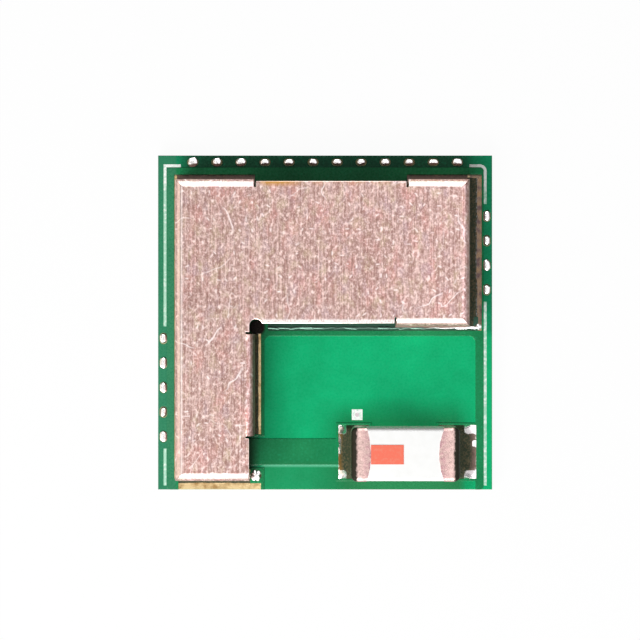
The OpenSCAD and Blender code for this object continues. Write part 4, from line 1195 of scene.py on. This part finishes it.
def solder_tones(end, place, share):
    """Darkness, from burnt flux and painted shade, and rosiness of the solder at a place from -1 to 1 across
    and a share of its reach.
    """
    spot_place, spot_length = SHINY_SPOT[end]
    blob = smooth(abs(place), *BLOB_SIDE) * smooth(share, *BLOB_OUT)
    spot = smooth(abs(place - spot_place), *[fade * spot_length for fade in SPOT_FADE])
    spot *= smooth(share, *SPOT_OUTER)
    bowl = share + BOWL_CURVE * place ** 2
    return 1.0 - max(blob, spot, BOWL_BRIGHT * smooth(bowl, *BOWL_RIM)), ROSY * smooth(bowl, *ROSY_RIM)


print("dark in the middle", solder_tones(1, 0.0, 0.0)[0], "and at a corner", solder_tones(1, 1.0, 1.0)[0])

# %% Solder at the antenna's ends
CLIMB, SKIN = 0.75, 0.03
ACROSS, ALONG = 36, 20
FALL_POWER, FALL_ROUND = 5, 0.6
RIPPLE, RIPPLE_SCALE = 0.03, 4


def end_solder(name, end, node):
    low, high = box_mm(node)
    face_x = chip_high.x if end > 0 else chip_low.x
    reach = high.x - face_x if end > 0 else face_x - low.x
    curve = (reach ** 2 + CLIMB ** 2) / (2 * reach)
    shape = bmesh.new()
    tones, rows = {}, []
    for i in range(ACROSS + 1):
        y = low.y + (high.y - low.y) * i / ACROSS
        place = 2 * i / ACROSS - 1
        fall = max(0.0, 1 - abs(place) ** FALL_POWER) ** FALL_ROUND
        row = []
        for j in range(ALONG + 1):
            d = -CAP_ROUND + (reach + CAP_ROUND) * j / ALONG
            hollow = CLIMB - math.sqrt(max(0.0, curve ** 2 - (max(d, 0.0) - curve) ** 2))
            ripple = RIPPLE * noise.noise(Vector((RIPPLE_SCALE * d, RIPPLE_SCALE * y, end)))
            z = SKIN + fall * max(0.0, hollow + ripple)
            row.append(shape.verts.new((face_x + end * d, y, copper_top + z)))
            tones[row[-1]] = solder_tones(end, place, d / reach)
        rows.append(row)
    for first, second in zip(rows, rows[1:]):
        for j in range(ALONG):
            shape.faces.new((first[j], first[j + 1], second[j + 1], second[j]))
    rim = rows[0] + [row[-1] for row in rows[1:]] + rows[-1][-2::-1] + [row[0] for row in rows[-2:0:-1]]
    base = [shape.verts.new((v.co.x, v.co.y, copper_top)) for v in rim]
    for (a, b), (c, d) in zip(around(rim), around(base)):
        shape.faces.new((b, a, c, d))
    shape.faces.new(base)
    bmesh.ops.recalc_face_normals(shape, faces=shape.faces)
    kept = [tones.get(v, (0.0, 0.0)) for v in shape.verts]
    mesh = mesh_from(shape, name, smooth_below=SOFT_BELOW)
    for label, values in zip(("corner", "rosy"), zip(*kept)):
        mesh.attributes.new(label, "FLOAT", "POINT").data.foreach_set("value", values)
    return mesh


for label, end in (("feed", -1), ("end", 1)):
    node = "antenna_%s_solder" % label
    finish_piece(label + "_end_solder", end_solder(label + "_end_solder", end, node), solder, "solder", node)

# %% [markdown]
# ## Lights
# One large softbox, in front and to the left, lights the board, so the strips behind and to the right of the
# shield fall into shade. Bare metal is different: it shows what stands around it. Large bright cards stand
# round the module for that. They don't light lacquer, ink or ceramic, and are linked to the bare metals only.
# Each card is there for one thing, such as the bright line along the bends at the back, or the warm tone of
# the left wall. Around a part this small, shadows of a tenth of a millimetre look like dirt, so the softbox
# casts no shadow of the antenna, its solder, the lacquer and the ink. A lamp's power is worked out from how
# bright its face should look.

# %% Softbox
WHITE, WARM, ROSE, COOL_ROSE = (1.0, 1.0, 1.0), (1.0, 0.84, 0.70), (1.0, 0.92, 0.96), (1.0, 0.92, 1.0)
# Azimuth and elevation in degrees, distance, width and height in millimetres, brightness and tint.
KEY = (-29, 41, 90, 96, 30, 12.6, WHITE)


def softbox(name, azimuth, elevation, distance, width, height, brightness, tint):
    data = bpy.data.lights.new(name, "AREA")
    data.shape = "RECTANGLE"
    data.size, data.size_y = width * MM, height * MM
    data.energy = brightness * math.pi * data.size * data.size_y
    data.color = tint
    lamp = put(name, data)
    a, e = math.radians(azimuth), math.radians(elevation)
    towards = Vector((math.sin(a) * math.cos(e), -math.cos(a) * math.cos(e), math.sin(e)))
    lamp.location = towards * distance * MM
    lamp.rotation_mode = "QUATERNION"
    lamp.rotation_quaternion = towards.to_track_quat("Z", "Y")
    lamp.visible_camera = False
    spread = width * height / distance ** 2
    print(name, "adds", round(brightness * spread * math.sin(e) / math.pi, 3))
    return lamp


key = softbox("key_softbox", *KEY)
no_shadow = bpy.data.collections.new("lets_the_key_pass")
for name in ("ceramic_block", "feed_cap", "end_cap", "feed_end_solder", "end_end_solder"):
    no_shadow.objects.link(bpy.data.objects[name])
for name in ("top_solder_mask", "silkscreen"):
    no_shadow.objects.link(frame["nodes"][name])
for entry in no_shadow.collection_objects:
    entry.light_linking.link_state = "EXCLUDE"
key.light_linking.blocker_collection = no_shadow

# %% Cards and sky
# The same seven values as in KEY.
CARDS = {
    "top_card": (0, 90, 100, 40, 40, 0.65, WHITE),
    "back_card": (180, 36, 80, 60, 104, 3.0, WHITE),
    "front_card": (0, 36, 80, 50, 120, 2.2, WHITE),
    "left_low_card": (-90, 20, 80, 110, 56, 1.1, WARM),
    "left_high_card": (-90, 63, 80, 110, 14, 1.9, WHITE),
    "right_high_card": (90, 58, 80, 110, 58, 1.35, COOL_ROSE),
    "right_low_card": (90, 22, 80, 110, 44, 0.5, ROSE),
}
SKY = 0.23

bare_metals = [finish.material for finish in (nickel_silver, paste, solder, gold)]
metal = bpy.data.collections.new("shows_the_cards")
for piece in scene.objects:
    if piece.type == "MESH" and piece.active_material in bare_metals:
        metal.objects.link(piece)
for name, places in CARDS.items():
    card = softbox(name, *places)
    card.visible_diffuse = False
    card.light_linking.receiver_collection = metal

world = bpy.data.worlds.new("studio")
world.use_nodes = True
world.node_tree.nodes["Background"].inputs["Color"].default_value = (*WHITE, 1.0)
world.node_tree.nodes["Background"].inputs["Strength"].default_value = SKY
scene.world = world

# %% [markdown]
# ## Floor
# The module lies on a plain pale floor, which takes a soft shadow. To the camera, and in whatever reflects or
# lets light through, the floor is nearly all glow, so it shows as white without lighting the module from
# below.

# %% Floor
FLOOR_RADIUS, FLOOR_SIDES = 650.0, 64
PALE = (0.85, 0.85, 0.85)
GLOW_SHARE = 0.96

floor_shape = bmesh.new()
bmesh.ops.create_circle(floor_shape, cap_ends=True, radius=FLOOR_RADIUS * MM, segments=FLOOR_SIDES)
floor = put("floor", mesh_from(floor_shape, "floor"))
pale = Finish("pale_floor", PALE, roughness=0.8, specular=0.2)
rays = pale.add("ShaderNodeLightPath")
seen = pale.chain("MAXIMUM", [rays["Is %s Ray" % kind] for kind in ("Camera", "Glossy", "Transmission")])
glow = pale.add("ShaderNodeEmission", {"Color": (*WHITE, 1.0), "Strength": 1.0})[0]
share = pale.math("MULTIPLY", seen, GLOW_SHARE)
both = pale.add("ShaderNodeMixShader", {0: share, 1: pale.shader.outputs[0], 2: glow})[0]
pale.tree.links.new(both, pale.tree.nodes["Material Output"].inputs["Surface"])
floor.data.materials.append(pale.material)
print("floor", round(2 * FLOOR_RADIUS), "mm wide")
